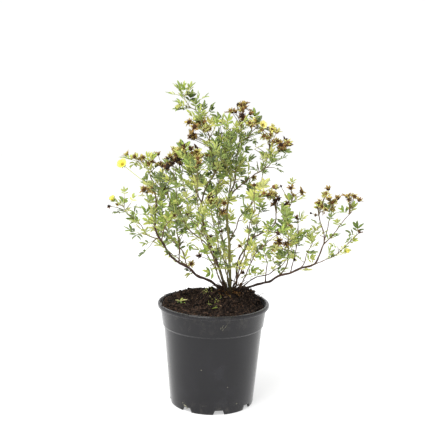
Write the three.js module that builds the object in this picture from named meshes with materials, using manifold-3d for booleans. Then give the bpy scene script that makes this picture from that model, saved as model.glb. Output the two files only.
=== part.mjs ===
// A potted shrubby cinquefoil: a twiggy shrub with small leaves, dried flower heads and a few
// yellow flowers, growing in a black nursery pot. Millimetres, +Z up, +X to the right and +Y away
// from the front. The origin is on the floor, in the middle of the pot's base.
import * as THREE from "three";
import { mergeVertices } from "three/addons/utils/BufferGeometryUtils.js";
import Module from "manifold-3d";

const wasm = await Module();
wasm.setup();

// Driving dimensions of the pot
const POT_HEIGHT = 156;
const RIM_RADIUS = 85;
const LIP_HEIGHT = 6;
const COLLAR_HEIGHT = 33.5;
const BASE_RADIUS = 64;
const WALL = 1.4;
const FLOOR = 2;
const CENTRE_PAD_RADIUS = 28;
const CHANNEL_HEIGHT = 7;
const NOTCHES = 8;
const NOTCH_WIDTH = 18;
const FIRST_NOTCH_DEG = -80;
const POT_SIDES = 32;

// Driving dimensions of the soil and of the woody crown that the stems grow from
const SOIL_LEVEL = 147;
const MOUND_HEIGHT = 17;
const MOUND_REACH = 26;
const HEAP = new THREE.Vector2(51, 40);
const HEAP_HEIGHT = 16;
const HEAP_REACH = 20;
const LEFT_HEAP = new THREE.Vector2(-6, 30);
const LEFT_HEAP_HEIGHT = 15;
const LEFT_HEAP_REACH = 17;
const BACK_RISE = new THREE.Vector2(-25, 70);
const BACK_RISE_HEIGHT = 4;
const BACK_RISE_REACH = 50;
const SURFACE_SLOPE = 0.07;
const BANK_HEIGHT = 6;
const BANK_BEARING_DEG = 155;
const BANK_INNER_RADIUS = 48;
const BANK_OUTER_RADIUS = 76;
const DIP = new THREE.Vector2(55, -50);
const DIP_DEPTH = 7;
const DIP_REACH = 22;
const CROWN = new THREE.Vector2(24, 10);
const CROWN_RADIUS = 13;
const CROWN_TOP = 174;
const CROWN_DEPTH = 40;

// Driving dimensions of the leaves, heads and flowers
const LEAF_LENGTH = 25;
const LEAF_WIDTH = 12;
const LEAF_THICKNESS = 0.8;
const STALK_THICKNESS = 1.2;
const HEAD_RADIUS = 4.6;
const FLOWER_RADIUS = 8.5;

// The clearance that touching pieces keep, and how many flat sides a stem and a stalk have
const GAP = 0.3;
const STEM_SIDES = 5;
const STALK_SIDES = 3;

// The stems and shoots, each with its diameter at the base and tip, how many leaves it carries and
// the share of its length below the first one, the radius of a dried head at its tip, and the
// points that it passes through. Each grows from the one named first on its line.
const STEMS = {
  low_left_stem: { on: "crown", across: [4.2, 2.8], leaves: 3, from: 0.6, head: 0,
    through: [[22, 9, 162], [13, 8, 176], [0, 2, 184], [-20, -6, 196], [-40, -12, 211], [-64, -16, 229],
      [-79, -18, 249], [-87, -20, 268], [-88, -22, 300]] },
  centre_left_stem: { on: "crown", across: [4, 2.6], leaves: 2, from: 0.6, head: 0,
    through: [[22, 7, 162], [17, 3, 179], [8, -2, 208], [-2, -6, 236], [-11, -10, 262], [-18, -12, 287],
      [-21, -12, 312]] },
  upright_stem: { on: "crown", across: [4.8, 3], leaves: 2, from: 0.5, head: 0,
    through: [[24, 9, 162], [25, 8, 179], [24, 8, 208], [22, 6, 239], [19, 4, 269], [17, 4, 299],
      [22, 4, 321]] },
  right_stem: { on: "crown", across: [3, 1.6], leaves: 4, from: 0.3, head: 0,
    through: [[27, 8, 162], [33, 2, 182], [35, -8, 222], [45, -14, 241], [56, -18, 258], [67, -20, 264],
      [77, -22, 272], [88, -24, 289], [90, -24, 307]] },
  low_right_stem: { on: "crown", across: [4, 2.8], leaves: 2, from: 0.7, head: 0,
    through: [[28, 10, 162], [37, 10, 173], [50, 8, 177], [75, 4, 186], [100, 0, 198], [130, -4, 212],
      [150, -6, 219]] },
  front_left_stem: { on: "crown", across: [3.4, 1.4], leaves: 9, from: 0.3, head: 7,
    through: [[22, 5, 162], [19, -3, 178], [8, -24, 211], [-8, -48, 250], [-21, -68, 291], [-26, -82, 331],
      [-25, -92, 374]] },
  front_low_left_stem: { on: "crown", across: [3.2, 1.2], leaves: 6, from: 0.35, head: 4,
    through: [[22, 5, 160], [15, -4, 176], [5, -29, 205], [-3, -58, 242], [-18, -84, 275],
      [-39, -102, 306]] },
  front_stem: { on: "crown", across: [3.2, 1.4], leaves: 5, from: 0.35, head: 5,
    through: [[25, 5, 162], [25, -5, 177], [17, -34, 216], [6, -62, 258], [-4, -80, 298], [-7, -86, 319]] },
  front_right_stem: { on: "crown", across: [3.4, 1], leaves: 7, from: 0.25, head: 6,
    through: [[28, 6, 162], [31, -1, 178], [36, -22, 208], [43, -50, 241], [48, -76, 276], [52, -90, 314],
      [52, -94, 346]] },
  front_low_right_stem: { on: "crown", across: [3, 1.2], leaves: 6, from: 0.3, head: 5,
    through: [[29, 6, 160], [36, 0, 172], [46, -28, 206], [57, -56, 240], [72, -80, 264], [88, -98, 282]] },
  back_left_stem: { on: "crown", across: [3.4, 1.3], leaves: 8, from: 0.3, head: 5,
    through: [[22, 12, 162], [15, 17, 178], [2, 32, 199], [-19, 50, 235], [-40, 64, 280], [-51, 74, 326],
      [-62, 80, 365]] },
  back_stem: { on: "crown", across: [3.6, 1.4], leaves: 9, from: 0.35, head: 4,
    through: [[24, 13, 162], [24, 20, 178], [19, 42, 206], [9, 64, 248], [2, 82, 298], [5, 90, 340],
      [7, 96, 406]] },
  back_right_stem: { on: "crown", across: [3.4, 1.3], leaves: 8, from: 0.4, head: 4,
    through: [[27, 12, 162], [33, 17, 177], [43, 36, 202], [57, 58, 234], [68, 76, 273], [71, 86, 308],
      [76, 94, 350], [85, 98, 389]] },
  back_low_left_stem: { on: "crown", across: [3.2, 1.2], leaves: 7, from: 0.35, head: 5,
    through: [[21, 11, 160], [11, 15, 173], [-19, 40, 184], [-46, 68, 197], [-75, 92, 215], [-96, 110, 244],
      [-101, 120, 277]] },
  back_low_right_stem: { on: "crown", across: [3.2, 1.2], leaves: 7, from: 0.35, head: 5,
    through: [[28, 12, 161], [38, 18, 172], [64, 44, 181], [94, 72, 187], [117, 92, 204], [131, 104, 232],
      [136, 110, 266]] },
  back_far_stem: { on: "crown", across: [3.2, 1.2], leaves: 7, from: 0.35, head: 5,
    through: [[25, 14, 160], [27, 24, 173], [23, 56, 192], [15, 90, 222], [7, 118, 266], [0, 130, 308]] },
  left_spire: { on: "low_left_stem", across: [2.4, 1.2], leaves: 6, from: 0.1, head: 0,
    through: [[-88, -22, 300], [-91, -22, 328], [-97, -18, 352], [-103, -14, 367]] },
  left_outer_shoot: { on: "low_left_stem", across: [2, 1], leaves: 5, from: 0.15, head: 0,
    through: [[-80, -18, 253], [-98, -24, 262], [-112, -28, 280], [-127, -30, 292], [-137, -30, 308]] },
  left_inner_shoot: { on: "low_left_stem", across: [2, 1.1], leaves: 3, from: 0.2, head: 5,
    through: [[-79, -18, 249], [-76, -32, 266], [-71, -40, 279], [-60, -46, 295]] },
  left_mid_shoot: { on: "low_left_stem", across: [2, 1.2], leaves: 6, from: 0.15, head: 0,
    through: [[-53, -14, 221], [-55, -4, 249], [-62, 4, 284], [-72, 8, 317], [-79, 12, 344]] },
  left_back_shoot: { on: "low_left_stem", across: [2, 1], leaves: 6, from: 0.25, head: 4,
    through: [[-40, -12, 211], [-51, 20, 232], [-77, 48, 255], [-101, 62, 280], [-108, 70, 311]] },
  centre_left_fork: { on: "centre_left_stem", across: [2.4, 1.2], leaves: 5, from: 0.2, head: 0,
    through: [[-21, -12, 312], [-30, -18, 330], [-35, -22, 352], [-41, -24, 374]] },
  tall_left_stem: { on: "centre_left_stem", across: [2.6, 1.6], leaves: 7, from: 0.2, head: 0,
    through: [[-21, -12, 312], [-14, -6, 336], [-4, 0, 355], [-6, 6, 385], [-14, 8, 410], [-22, 10, 424]] },
  top_left_tip: { on: "tall_left_stem", across: [1.6, 1], leaves: 6, from: 0.2, head: 0,
    through: [[-22, 10, 424], [-30, 12, 444], [-40, 14, 452], [-48, 14, 462], [-51, 14, 468]] },
  centre_side_branch: { on: "centre_left_stem", across: [2.4, 1.2], leaves: 7, from: 0.2, head: 0,
    through: [[-4, -6, 240], [-20, -22, 258], [-37, -38, 273], [-50, -50, 296], [-55, -54, 323],
      [-59, -54, 351]] },
  ladder_shoot: { on: "upright_stem", across: [2.4, 1.2], leaves: 5, from: 0.3, head: 0,
    through: [[22, 4, 321], [32, 6, 331], [42, 8, 340], [59, 12, 352], [76, 16, 362], [87, 18, 375],
      [97, 20, 388]] },
  upright_left_fork: { on: "upright_stem", across: [2.4, 1.2], leaves: 6, from: 0.2, head: 0,
    through: [[22, 4, 321], [20, -2, 346], [12, -6, 371], [14, -8, 396], [17, -10, 421]] },
  upright_right_fork: { on: "upright_stem", across: [2.6, 1.6], leaves: 7, from: 0.2, head: 0,
    through: [[22, 4, 321], [28, 8, 344], [31, 12, 369], [36, 14, 404], [38, 14, 429]] },
  top_right_spray: { on: "upright_right_fork", across: [1.6, 1], leaves: 2, from: 0.2, head: 0,
    through: [[36, 14, 399], [46, 10, 407], [54, 6, 418], [60, 4, 422]] },
  thin_right_stem: { on: "upright_stem", across: [2.2, 1.2], leaves: 6, from: 0.3, head: 0,
    through: [[23, 6, 249], [31, -8, 271], [39, -18, 291], [49, -24, 308], [59, -28, 318], [66, -30, 324]] },
  right_front_shoot: { on: "right_stem", across: [1.6, 1], leaves: 2, from: 0.2, head: 5.5,
    through: [[77, -22, 272], [87, -36, 270], [98, -46, 276], [107, -50, 283]] },
  right_mid_shoot: { on: "low_right_stem", across: [2.2, 1.1], leaves: 8, from: 0.15, head: 0,
    through: [[100, 0, 198], [108, 4, 212], [113, 8, 233], [111, 10, 258], [105, 10, 280], [109, 12, 300],
      [116, 12, 316]] },
  right_low_twig: { on: "low_right_stem", across: [1.8, 1], leaves: 2, from: 0.3, head: 4.5,
    through: [[77, 4, 187], [80, -6, 213], [78, -10, 230], [70, -13, 246]] },
  right_back_shoot: { on: "low_right_stem", across: [1.8, 1], leaves: 4, from: 0.25, head: 5,
    through: [[115, -2, 205], [123, 26, 222], [131, 50, 247], [129, 62, 280]] },
  right_inner_shoot: { on: "low_right_stem", across: [1.8, 1], leaves: 4, from: 0.2, head: 0,
    through: [[130, -4, 212], [142, 16, 226], [151, 30, 244], [152, 38, 261]] },
  right_up_stem: { on: "low_right_stem", across: [2.8, 1.4], leaves: 3, from: 0.3, head: 4,
    through: [[150, -6, 219], [157, -8, 232], [162, -10, 252], [161, -12, 270], [156, -12, 287],
      [151, -12, 307]] },
  right_fork: { on: "right_up_stem", across: [1.8, 1.1], leaves: 2, from: 0.3, head: 0,
    through: [[162, -11, 258], [171, 6, 277], [177, 20, 295]] },
  right_far_shoot: { on: "right_up_stem", across: [1.8, 1.1], leaves: 2, from: 0.3, head: 0,
    through: [[162, -10, 252], [174, -22, 267], [185, -32, 288], [199, -38, 308]] },
  right_low_shoot: { on: "low_right_stem", across: [1.8, 1], leaves: 4, from: 0.25, head: 5,
    through: [[150, -6, 219], [163, -16, 227], [178, -24, 236], [193, -30, 254], [210, -34, 275]] },
};

// The clusters of dried flower heads: how far along its stem each starts, and where the heads stand
const HEAD_CLUSTERS = {
  left_spire: { at: 1, heads: [[-111, -10, 373], [-120, -16, 376], [-132, -6, 377]] },
  left_mid_shoot: { at: 1, heads: [[-82, 18, 359], [-73, 4, 355], [-88, 18, 377]] },
  centre_side_branch: { at: 1, heads: [[-62, -58, 371], [-54, -50, 376], [-68, -64, 366]] },
  centre_left_fork: { at: 1, heads: [[-48, -22, 391], [-38, -34, 390], [-30, -18, 391]] },
  tall_left_stem: { at: 0.93, heads: [[-36, 2, 413], [-41, 2, 427], [-33, -8, 421]] },
  upright_right_fork: { at: 1,
    heads: [[22, 12, 443], [34, 24, 445], [36, 2, 438], [48, 8, 441], [42, 18, 456]] },
  top_right_spray: { at: 1, heads: [[69, 2, 411], [80, 8, 415], [82, -4, 403]] },
  ladder_shoot: { at: 1, heads: [[96, 12, 396], [103, 24, 402], [110, 26, 395]] },
  thin_right_stem: { at: 1, heads: [[71, -26, 342], [78, -38, 328]] },
  right_stem: { at: 1, heads: [[92, -30, 319], [103, -20, 310], [88, -18, 334]] },
  right_mid_shoot: { at: 1, heads: [[129, 16, 326], [113, 8, 331]] },
  right_fork: { at: 1, heads: [[162, 14, 307], [173, 24, 313], [187, 30, 314], [170, 14, 330]] },
  right_far_shoot: { at: 1, heads: [[191, -34, 326], [199, -46, 328], [208, -36, 321]] },
};

// The yellow flowers: the stem that each grows on, how far along it, and the way to the bloom
const FLOWERS = {
  left_flower: { on: "left_spire", at: 0.4,
    through: [[-104, -22, 340], [-117, -24, 350], [-136, -25, 365]] },
  far_left_flower: { on: "left_outer_shoot", at: 1, through: [[-143, -31, 311], [-149, -32, 313]] },
  top_flower: { on: "top_right_spray", at: 0.9, through: [[64, -4, 420], [66, -8, 425]] },
  right_flower: { on: "right_low_shoot", at: 0.55, through: [[186, -32, 240], [191, -37, 246]] },
};

// A steady number from 0 to 1 that differs from place to place
function wobble(place) {
  const value = Math.sin(place * 12.9898) * 43758.5453;
  return value - Math.floor(value);
}

function solidOf(geometry) {
  const bare = geometry.clone();
  bare.deleteAttribute("normal");
  bare.deleteAttribute("uv");
  const merged = mergeVertices(bare, 1e-4);
  return new wasm.Manifold(new wasm.Mesh({
    numProp: 3,
    vertProperties: new Float32Array(merged.attributes.position.array),
    triVerts: new Uint32Array(merged.index.array),
  }));
}

function geometryOf(solid) {
  const mesh = solid.getMesh();
  const geometry = new THREE.BufferGeometry();
  geometry.setAttribute("position", new THREE.BufferAttribute(mesh.vertProperties, 3));
  geometry.setIndex(new THREE.BufferAttribute(mesh.triVerts, 1));
  geometry.computeVertexNormals();
  return geometry;
}

function largestPiece(solid) {
  const pieces = solid.decompose();
  pieces.sort((a, b) => b.volume() - a.volume());
  return pieces[0];
}

// A smooth curve through points, with the same course in every language that uses its formula
function curveThrough(points) {
  return new THREE.CatmullRomCurve3(points.map((p) => new THREE.Vector3(...p)), false, "catmullrom", 0.5);
}

const curves = {};
for (const [name, stem] of Object.entries(STEMS)) curves[name] = curveThrough(stem.through);

// Two directions square to a curve's tangent, which turn little along a stem
function across(curve, t) {
  const span = curve.getPoint(1).sub(curve.getPoint(0)).normalize();
  const steady = Math.abs(span.y) > 0.7 ? new THREE.Vector3(1, 0, 0) : new THREE.Vector3(0, 1, 0);
  const tangent = curve.getTangent(t);
  const side = new THREE.Vector3().crossVectors(tangent, steady).normalize();
  const up = new THREE.Vector3().crossVectors(side, tangent);
  return { tangent, side, up };
}

// The point at a share of a stem's length, on the straight stretches between its points
function pointOnStem(name, t) {
  const points = curves[name].points;
  const step = Math.min(points.length - 2, Math.floor(t * (points.length - 1)));
  return points[step].clone().lerp(points[step + 1], t * (points.length - 1) - step);
}

// A round stem that tapers from one diameter to another, with closed ends
function taperedTube(curve, diameters, sides, steps, extra = 0) {
  const positions = [];
  const faces = [];
  for (let i = 0; i <= steps; i += 1) {
    const t = i / steps;
    const { tangent, side, up } = across(curve, t);
    const centre = curve.getPoint(t);
    if (i === 0) centre.addScaledVector(tangent, -extra);
    if (i === steps) centre.addScaledVector(tangent, extra);
    const radius = THREE.MathUtils.lerp(diameters[0], diameters[1], t) / 2 + extra;
    for (let k = 0; k < sides; k += 1) {
      const angle = (k / sides) * Math.PI * 2;
      const point = centre.clone();
      point.addScaledVector(side, Math.cos(angle) * radius);
      point.addScaledVector(up, Math.sin(angle) * radius);
      positions.push(point.x, point.y, point.z);
    }
  }
  for (let i = 0; i < steps; i += 1) {
    for (let k = 0; k < sides; k += 1) {
      const a = i * sides + k;
      const b = i * sides + ((k + 1) % sides);
      faces.push(a, b + sides, b, a, a + sides, b + sides);
    }
  }
  for (let k = 1; k < sides - 1; k += 1) {
    faces.push(0, k, k + 1);
    const last = steps * sides;
    faces.push(last, last + k + 1, last + k);
  }
  const geometry = new THREE.BufferGeometry();
  geometry.setAttribute("position", new THREE.Float32BufferAttribute(positions, 3));
  geometry.setIndex(faces);
  return solidOf(geometry);
}

function straightStalk(from, to, thickness) {
  return taperedTube(new THREE.LineCurve3(from, to), [thickness, thickness], STALK_SIDES, 1);
}

// A dried flower head or a bud: a small faceted ball, a little flattened
function ball(centre, radius) {
  const geometry = new THREE.IcosahedronGeometry(radius, 0);
  geometry.scale(1, 1, 0.8);
  geometry.translate(centre.x, centre.y, centre.z);
  return solidOf(geometry);
}

// One leaf as a thin blade with a keel: narrow at its stalk, widest past the middle, pointed
function leafBlade(base, direction, length) {
  const side = new THREE.Vector3().crossVectors(direction, new THREE.Vector3(0, 0, 1));
  if (side.length() < 0.2) side.set(1, 0, 0);
  side.normalize();
  const normal = new THREE.Vector3().crossVectors(side, direction).normalize();
  const corners = [];
  for (const [along, width, thickness] of [[0, STALK_THICKNESS, LEAF_THICKNESS],
    [0.6, LEAF_WIDTH * length / LEAF_LENGTH, LEAF_THICKNESS]]) {
    for (const [u, v] of [[-1, 0], [0, -1], [1, 0]]) {
      const corner = base.clone().addScaledVector(direction, along * length);
      corner.addScaledVector(side, u * width / 2).addScaledVector(normal, v * thickness);
      corners.push(corner);
    }
  }
  corners.push(base.clone().addScaledVector(direction, length));
  const faces = [0, 1, 2];
  for (let k = 0; k < 3; k += 1) {
    const next = (k + 1) % 3;
    faces.push(k, next + 3, next, k, k + 3, next + 3, k + 3, 6, next + 3);
  }
  const geometry = new THREE.BufferGeometry();
  geometry.setFromPoints(corners);
  geometry.setIndex(faces);
  return solidOf(geometry);
}

// A leaf's place on its stem: leaves turn round the stem by the golden angle and lean upward
const GOLDEN_ANGLE = THREE.MathUtils.degToRad(137.5);
function leafPlace(name, stemNumber, leafNumber) {
  const { leaves, from } = STEMS[name];
  const seed = stemNumber * 31 + leafNumber;
  const t = Math.min(1, from + ((1 - from) * (leafNumber + 0.7)) / leaves);
  const { tangent, side, up } = across(curves[name], t);
  const round = leafNumber * GOLDEN_ANGLE + stemNumber;
  const lean = THREE.MathUtils.degToRad(48 + 24 * wobble(seed));
  const direction = tangent.clone().multiplyScalar(Math.cos(lean));
  direction.addScaledVector(side, Math.cos(round) * Math.sin(lean));
  direction.addScaledVector(up, Math.sin(round) * Math.sin(lean));
  direction.z += 0.2;
  direction.normalize();
  const base = pointOnStem(name, t);
  return { base, direction, length: LEAF_LENGTH * (0.8 + 0.3 * wobble(seed + 0.5)) };
}

const POT_PLASTIC = new THREE.MeshStandardMaterial({ color: "#44494d", roughness: 0.55, metalness: 0 });
const PEAT = new THREE.MeshStandardMaterial({ color: "#2b211b", roughness: 1, metalness: 0 });
const BARK = new THREE.MeshStandardMaterial({ color: "#5b4433", roughness: 0.85, metalness: 0 });
const LEAF = new THREE.MeshStandardMaterial({ color: "#6f8f4a", roughness: 0.7, metalness: 0 });
const DRIED = new THREE.MeshStandardMaterial({ color: "#5a3a20", roughness: 0.9, metalness: 0 });
const PETAL = new THREE.MeshStandardMaterial({ color: "#e3cf35", roughness: 0.6, metalness: 0 });

const plant = new THREE.Group();
function addNode(name, solid, material) {
  const mesh = new THREE.Mesh(geometryOf(solid), material);
  mesh.name = name;
  plant.add(mesh);
}

// The pot's outline, from the underside of its base, up the outside and down the inside
const COLLAR_BASE = POT_HEIGHT - COLLAR_HEIGHT;
const BODY_TOP_RADIUS = 75;
const COLLAR_BASE_RADIUS = 77.2;
const COLLAR_TOP_RADIUS = 81;
const FOOT_RADIUS = BASE_RADIUS - 2.4;
const FLOOR_TOP = CHANNEL_HEIGHT + FLOOR;
const INNER_FLOOR_RADIUS = BASE_RADIUS - WALL;
function potGeometry() {
  const outline = [
    [0, 0], [CENTRE_PAD_RADIUS, 0], [CENTRE_PAD_RADIUS + 2, CHANNEL_HEIGHT],
    [FOOT_RADIUS - 1, CHANNEL_HEIGHT], [FOOT_RADIUS, 0],
    [BASE_RADIUS - 1, 0], [BASE_RADIUS, 1.5],
    [BODY_TOP_RADIUS, COLLAR_BASE - 2], [COLLAR_BASE_RADIUS, COLLAR_BASE + 1],
    [COLLAR_TOP_RADIUS, POT_HEIGHT - LIP_HEIGHT - 1],
    [RIM_RADIUS - 1.2, POT_HEIGHT - LIP_HEIGHT], [RIM_RADIUS, POT_HEIGHT - LIP_HEIGHT + 1.5],
    [RIM_RADIUS, POT_HEIGHT - 1.5], [RIM_RADIUS - 1.5, POT_HEIGHT],
    [COLLAR_TOP_RADIUS, POT_HEIGHT], [COLLAR_TOP_RADIUS - WALL, POT_HEIGHT - 2],
    [COLLAR_BASE_RADIUS - WALL, COLLAR_BASE + 1], [BODY_TOP_RADIUS - WALL, COLLAR_BASE - 2],
    [INNER_FLOOR_RADIUS, FLOOR_TOP], [CENTRE_PAD_RADIUS, FLOOR_TOP],
    [CENTRE_PAD_RADIUS - 2, FLOOR], [0, FLOOR],
  ];
  const lathe = new THREE.LatheGeometry(outline.map(([r, z]) => new THREE.Vector2(r, z)), POT_SIDES);
  lathe.rotateX(Math.PI / 2);
  return lathe;
}

// One drainage notch: a wedge with sloping sides that opens the foot ring to the channel
function notchGeometry(angle) {
  const half = NOTCH_WIDTH / 2;
  const outline = new THREE.Shape([
    new THREE.Vector2(-half, -1), new THREE.Vector2(half, -1),
    new THREE.Vector2(half - 3, CHANNEL_HEIGHT), new THREE.Vector2(-half + 3, CHANNEL_HEIGHT),
  ]);
  const wedge = new THREE.ExtrudeGeometry(outline, { depth: 8, bevelEnabled: false });
  wedge.rotateX(Math.PI / 2);
  wedge.translate(0, FOOT_RADIUS + 5, 0);
  wedge.rotateZ(angle - Math.PI / 2);
  return wedge;
}

let pot = solidOf(potGeometry());
for (let k = 0; k < NOTCHES; k += 1) {
  const angle = THREE.MathUtils.degToRad(FIRST_NOTCH_DEG + (k * 360) / NOTCHES);
  pot = pot.subtract(solidOf(notchGeometry(angle)));
}
addNode("pot", pot, POT_PLASTIC);

// The woody crown, half buried in the soil's mound
function crownSolid(extra) {
  const outline = [
    [0, CROWN_TOP - CROWN_DEPTH - extra], [CROWN_RADIUS - 4 + extra, CROWN_TOP - CROWN_DEPTH + 4],
    [CROWN_RADIUS + extra, CROWN_TOP - 18], [CROWN_RADIUS - 1.5 + extra, CROWN_TOP - 8],
    [CROWN_RADIUS - 5 + extra, CROWN_TOP - 2], [0, CROWN_TOP + extra],
  ];
  const lathe = new THREE.LatheGeometry(outline.map(([r, z]) => new THREE.Vector2(r, z)), 14);
  lathe.rotateX(Math.PI / 2);
  lathe.translate(CROWN.x, CROWN.y, 0);
  return solidOf(lathe);
}
const crown = crownSolid(0);
addNode("crown", crown, BARK);

// A smooth bump of the soil at a place: its height above the rest, seen from a point
function bump(x, y, place, height, reach) {
  return height * Math.exp(-((Math.hypot(x - place.x, y - place.y) / reach) ** 2));
}

// The peat that was pushed up against the wall on one side when the plant was potted
function bank(x, y) {
  const radius = Math.max(Math.hypot(x, y), 1);
  const bearing = THREE.MathUtils.degToRad(BANK_BEARING_DEG);
  const facing = Math.max((x * Math.cos(bearing) + y * Math.sin(bearing)) / radius, 0);
  return BANK_HEIGHT * facing ** 2 * THREE.MathUtils.smoothstep(radius, BANK_INNER_RADIUS, BANK_OUTER_RADIUS);
}

// The soil fills the pot and slopes up to the back, where it meets the rim. It rises in a mound
// round the crown and a heap behind it on either side, and is low at the right front
function soilLevel(x, y) {
  const mound = bump(x, y, CROWN, MOUND_HEIGHT, MOUND_REACH);
  const heap = bump(x, y, HEAP, HEAP_HEIGHT, HEAP_REACH);
  const leftHeap = bump(x, y, LEFT_HEAP, LEFT_HEAP_HEIGHT, LEFT_HEAP_REACH);
  const back = bump(x, y, BACK_RISE, BACK_RISE_HEIGHT, BACK_RISE_REACH) + SURFACE_SLOPE * y;
  const dip = bump(x, y, DIP, DIP_DEPTH, DIP_REACH);
  const clods = 1.2 * Math.sin(x * 0.21) * Math.cos(y * 0.17);
  return SOIL_LEVEL + mound + heap + leftHeap + back + bank(x, y) - dip + clods;
}
const SOIL_EDGE_DEPTH = 8;
const COLLAR_SLOPE = (COLLAR_TOP_RADIUS - COLLAR_BASE_RADIUS) / (COLLAR_HEIGHT - 3);
const SOIL_EDGE_RISE = SOIL_LEVEL - SOIL_EDGE_DEPTH - COLLAR_BASE - 1;
const SOIL_RADIUS = COLLAR_BASE_RADIUS - WALL - GAP + COLLAR_SLOPE * SOIL_EDGE_RISE;
function soilGeometry() {
  const outline = [
    [0, FLOOR + GAP], [CENTRE_PAD_RADIUS - 2 - GAP, FLOOR + GAP], [CENTRE_PAD_RADIUS - GAP, FLOOR_TOP + GAP],
    [INNER_FLOOR_RADIUS - 2 * GAP, FLOOR_TOP + GAP],
    [BODY_TOP_RADIUS - WALL - 2 * GAP, COLLAR_BASE - 2],
    [COLLAR_BASE_RADIUS - WALL - GAP, COLLAR_BASE + 1 + GAP],
    [SOIL_RADIUS, SOIL_LEVEL - SOIL_EDGE_DEPTH],
  ];
  for (const share of [0.99, 0.8, 0.6, 0.42, 0.24, 0]) {
    outline.push([SOIL_RADIUS * share, SOIL_LEVEL]);
  }
  const lathe = new THREE.LatheGeometry(outline.map(([r, z]) => new THREE.Vector2(r, z)), POT_SIDES);
  lathe.rotateX(Math.PI / 2);
  const places = lathe.attributes.position;
  for (let i = 0; i < places.count; i += 1) {
    if (Math.abs(places.getZ(i) - SOIL_LEVEL) < 0.01) {
      places.setZ(i, soilLevel(places.getX(i), places.getY(i)));
    }
  }
  return lathe;
}
addNode("soil", solidOf(soilGeometry()).subtract(crownSolid(GAP)), PEAT);

// Each solid already in place, with its node's name: what grows later keeps clear of it
const placed = [{ node: "crown", solid: crown, swollen: crownSolid(GAP) }];

function boxesMeet(a, b, reach) {
  const first = a.boundingBox();
  const second = b.boundingBox();
  return [0, 1, 2].every((i) => first.min[i] < second.max[i] + reach && second.min[i] < first.max[i] + reach);
}

function cutClear(solid, ownNode) {
  let rest = solid;
  for (const { node, swollen } of placed) {
    if (node !== ownNode && swollen && boxesMeet(rest, swollen, 0)) rest = rest.subtract(swollen);
  }
  return largestPiece(rest);
}

function clearOfOthers(solid, node) {
  return placed.every((other) => other.node === node || !boxesMeet(solid, other.solid, GAP)
    || solid.minGap(other.solid, 1) > GAP);
}

// Woody stems and shoots first, so that each sits against what it grows from
const solids = {};
for (const [name, stem] of Object.entries(STEMS)) {
  const curve = curves[name];
  const steps = stem.through.length - 1;
  const tube = cutClear(taperedTube(curve, stem.across, STEM_SIDES, steps), name);
  solids[name] = [tube];
  placed.push({ node: name, solid: tube, swollen: taperedTube(curve, stem.across, STEM_SIDES, steps, GAP) });
}
for (const [name, stem] of Object.entries(STEMS)) {
  if (stem.head > 0) {
    const head = cutClear(ball(curves[name].getPoint(1), stem.head), name);
    solids[name].push(head);
    placed.push({ node: name, solid: head });
  }
}

// A cluster of dried heads: a short stalk that leaves the stem towards them, and one to each head
const FORK_REACH = 3;
for (const [stemName, { at, heads }] of Object.entries(HEAD_CLUSTERS)) {
  const node = `${stemName}_heads`;
  const centres = heads.map((place) => new THREE.Vector3(...place));
  const start = pointOnStem(stemName, at);
  const aim = new THREE.Vector3();
  centres.forEach((centre) => aim.add(centre).sub(start));
  aim.normalize();
  const fork = start.clone().addScaledVector(aim, FORK_REACH);
  let cluster = straightStalk(start, fork.clone().addScaledVector(aim, 0.5), STALK_THICKNESS);
  for (const centre of centres) {
    cluster = cluster.add(straightStalk(fork, centre, STALK_THICKNESS)).add(ball(centre, HEAD_RADIUS));
  }
  solids[node] = [cutClear(cluster, node)];
  placed.push({ node, solid: solids[node][0] });
}

// A yellow flower: a shallow bowl of petals on its stalk, facing the way that the stalk ends
for (const [node, flower] of Object.entries(FLOWERS)) {
  const start = pointOnStem(flower.on, flower.at);
  const curve = curveThrough([start.toArray(), ...flower.through]);
  const steps = flower.through.length;
  const stalk = taperedTube(curve, [STALK_THICKNESS, STALK_THICKNESS], STALK_SIDES, steps);
  const outline = [[0, -1.5], [FLOWER_RADIUS, 1.5], [FLOWER_RADIUS - 0.6, 3], [0, 1]];
  const bowl = new THREE.LatheGeometry(outline.map(([r, z]) => new THREE.Vector2(r, z)), 10);
  bowl.applyQuaternion(new THREE.Quaternion().setFromUnitVectors(
    new THREE.Vector3(0, 1, 0), curve.getTangent(1)));
  bowl.translate(...curve.getPoint(1).toArray());
  solids[node] = [cutClear(stalk.add(solidOf(bowl)), node)];
  placed.push({ node, solid: solids[node][0] });
}

// The leaves, each on its own stem, left off where they would run into something else
Object.entries(STEMS).forEach(([name, stem], stemNumber) => {
  for (let k = 0; k < stem.leaves; k += 1) {
    const { base, direction, length } = leafPlace(name, stemNumber, k);
    const blade = leafBlade(base, direction, length);
    if (clearOfOthers(blade, name)) {
      solids[name].push(blade);
      placed.push({ node: name, solid: blade });
    }
  }
});

for (const [name, parts] of Object.entries(solids)) {
  const whole = largestPiece(parts.reduce((sum, piece) => sum.add(piece)));
  let material = DRIED;
  if (name in FLOWERS) material = PETAL;
  if (name in STEMS) material = STEMS[name].on === "crown" ? BARK : LEAF;
  addNode(name, whole, material);
}

export default plant;
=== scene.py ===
# %% [markdown]
# # A shrubby cinquefoil in a nursery pot
#
# The plant is a young flowering shrub. Thin woody stems fan out of one crown and carry small leaves
# of five leaflets, dried flower heads and a few yellow flowers. It stands in a moulded pot of peat.
# A CAD model already holds the real sizes, so each piece here is made round the same named points,
# in millimetres, and turned to metres at the very end. One well-made leaflet is used thousands of
# times, so most of the lesson is about making one good blade and placing it well.

import random
from math import ceil, cos, exp, hypot, pi, radians, sin

import bpy
import numpy as np
from mathutils import Matrix, Vector, noise


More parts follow.
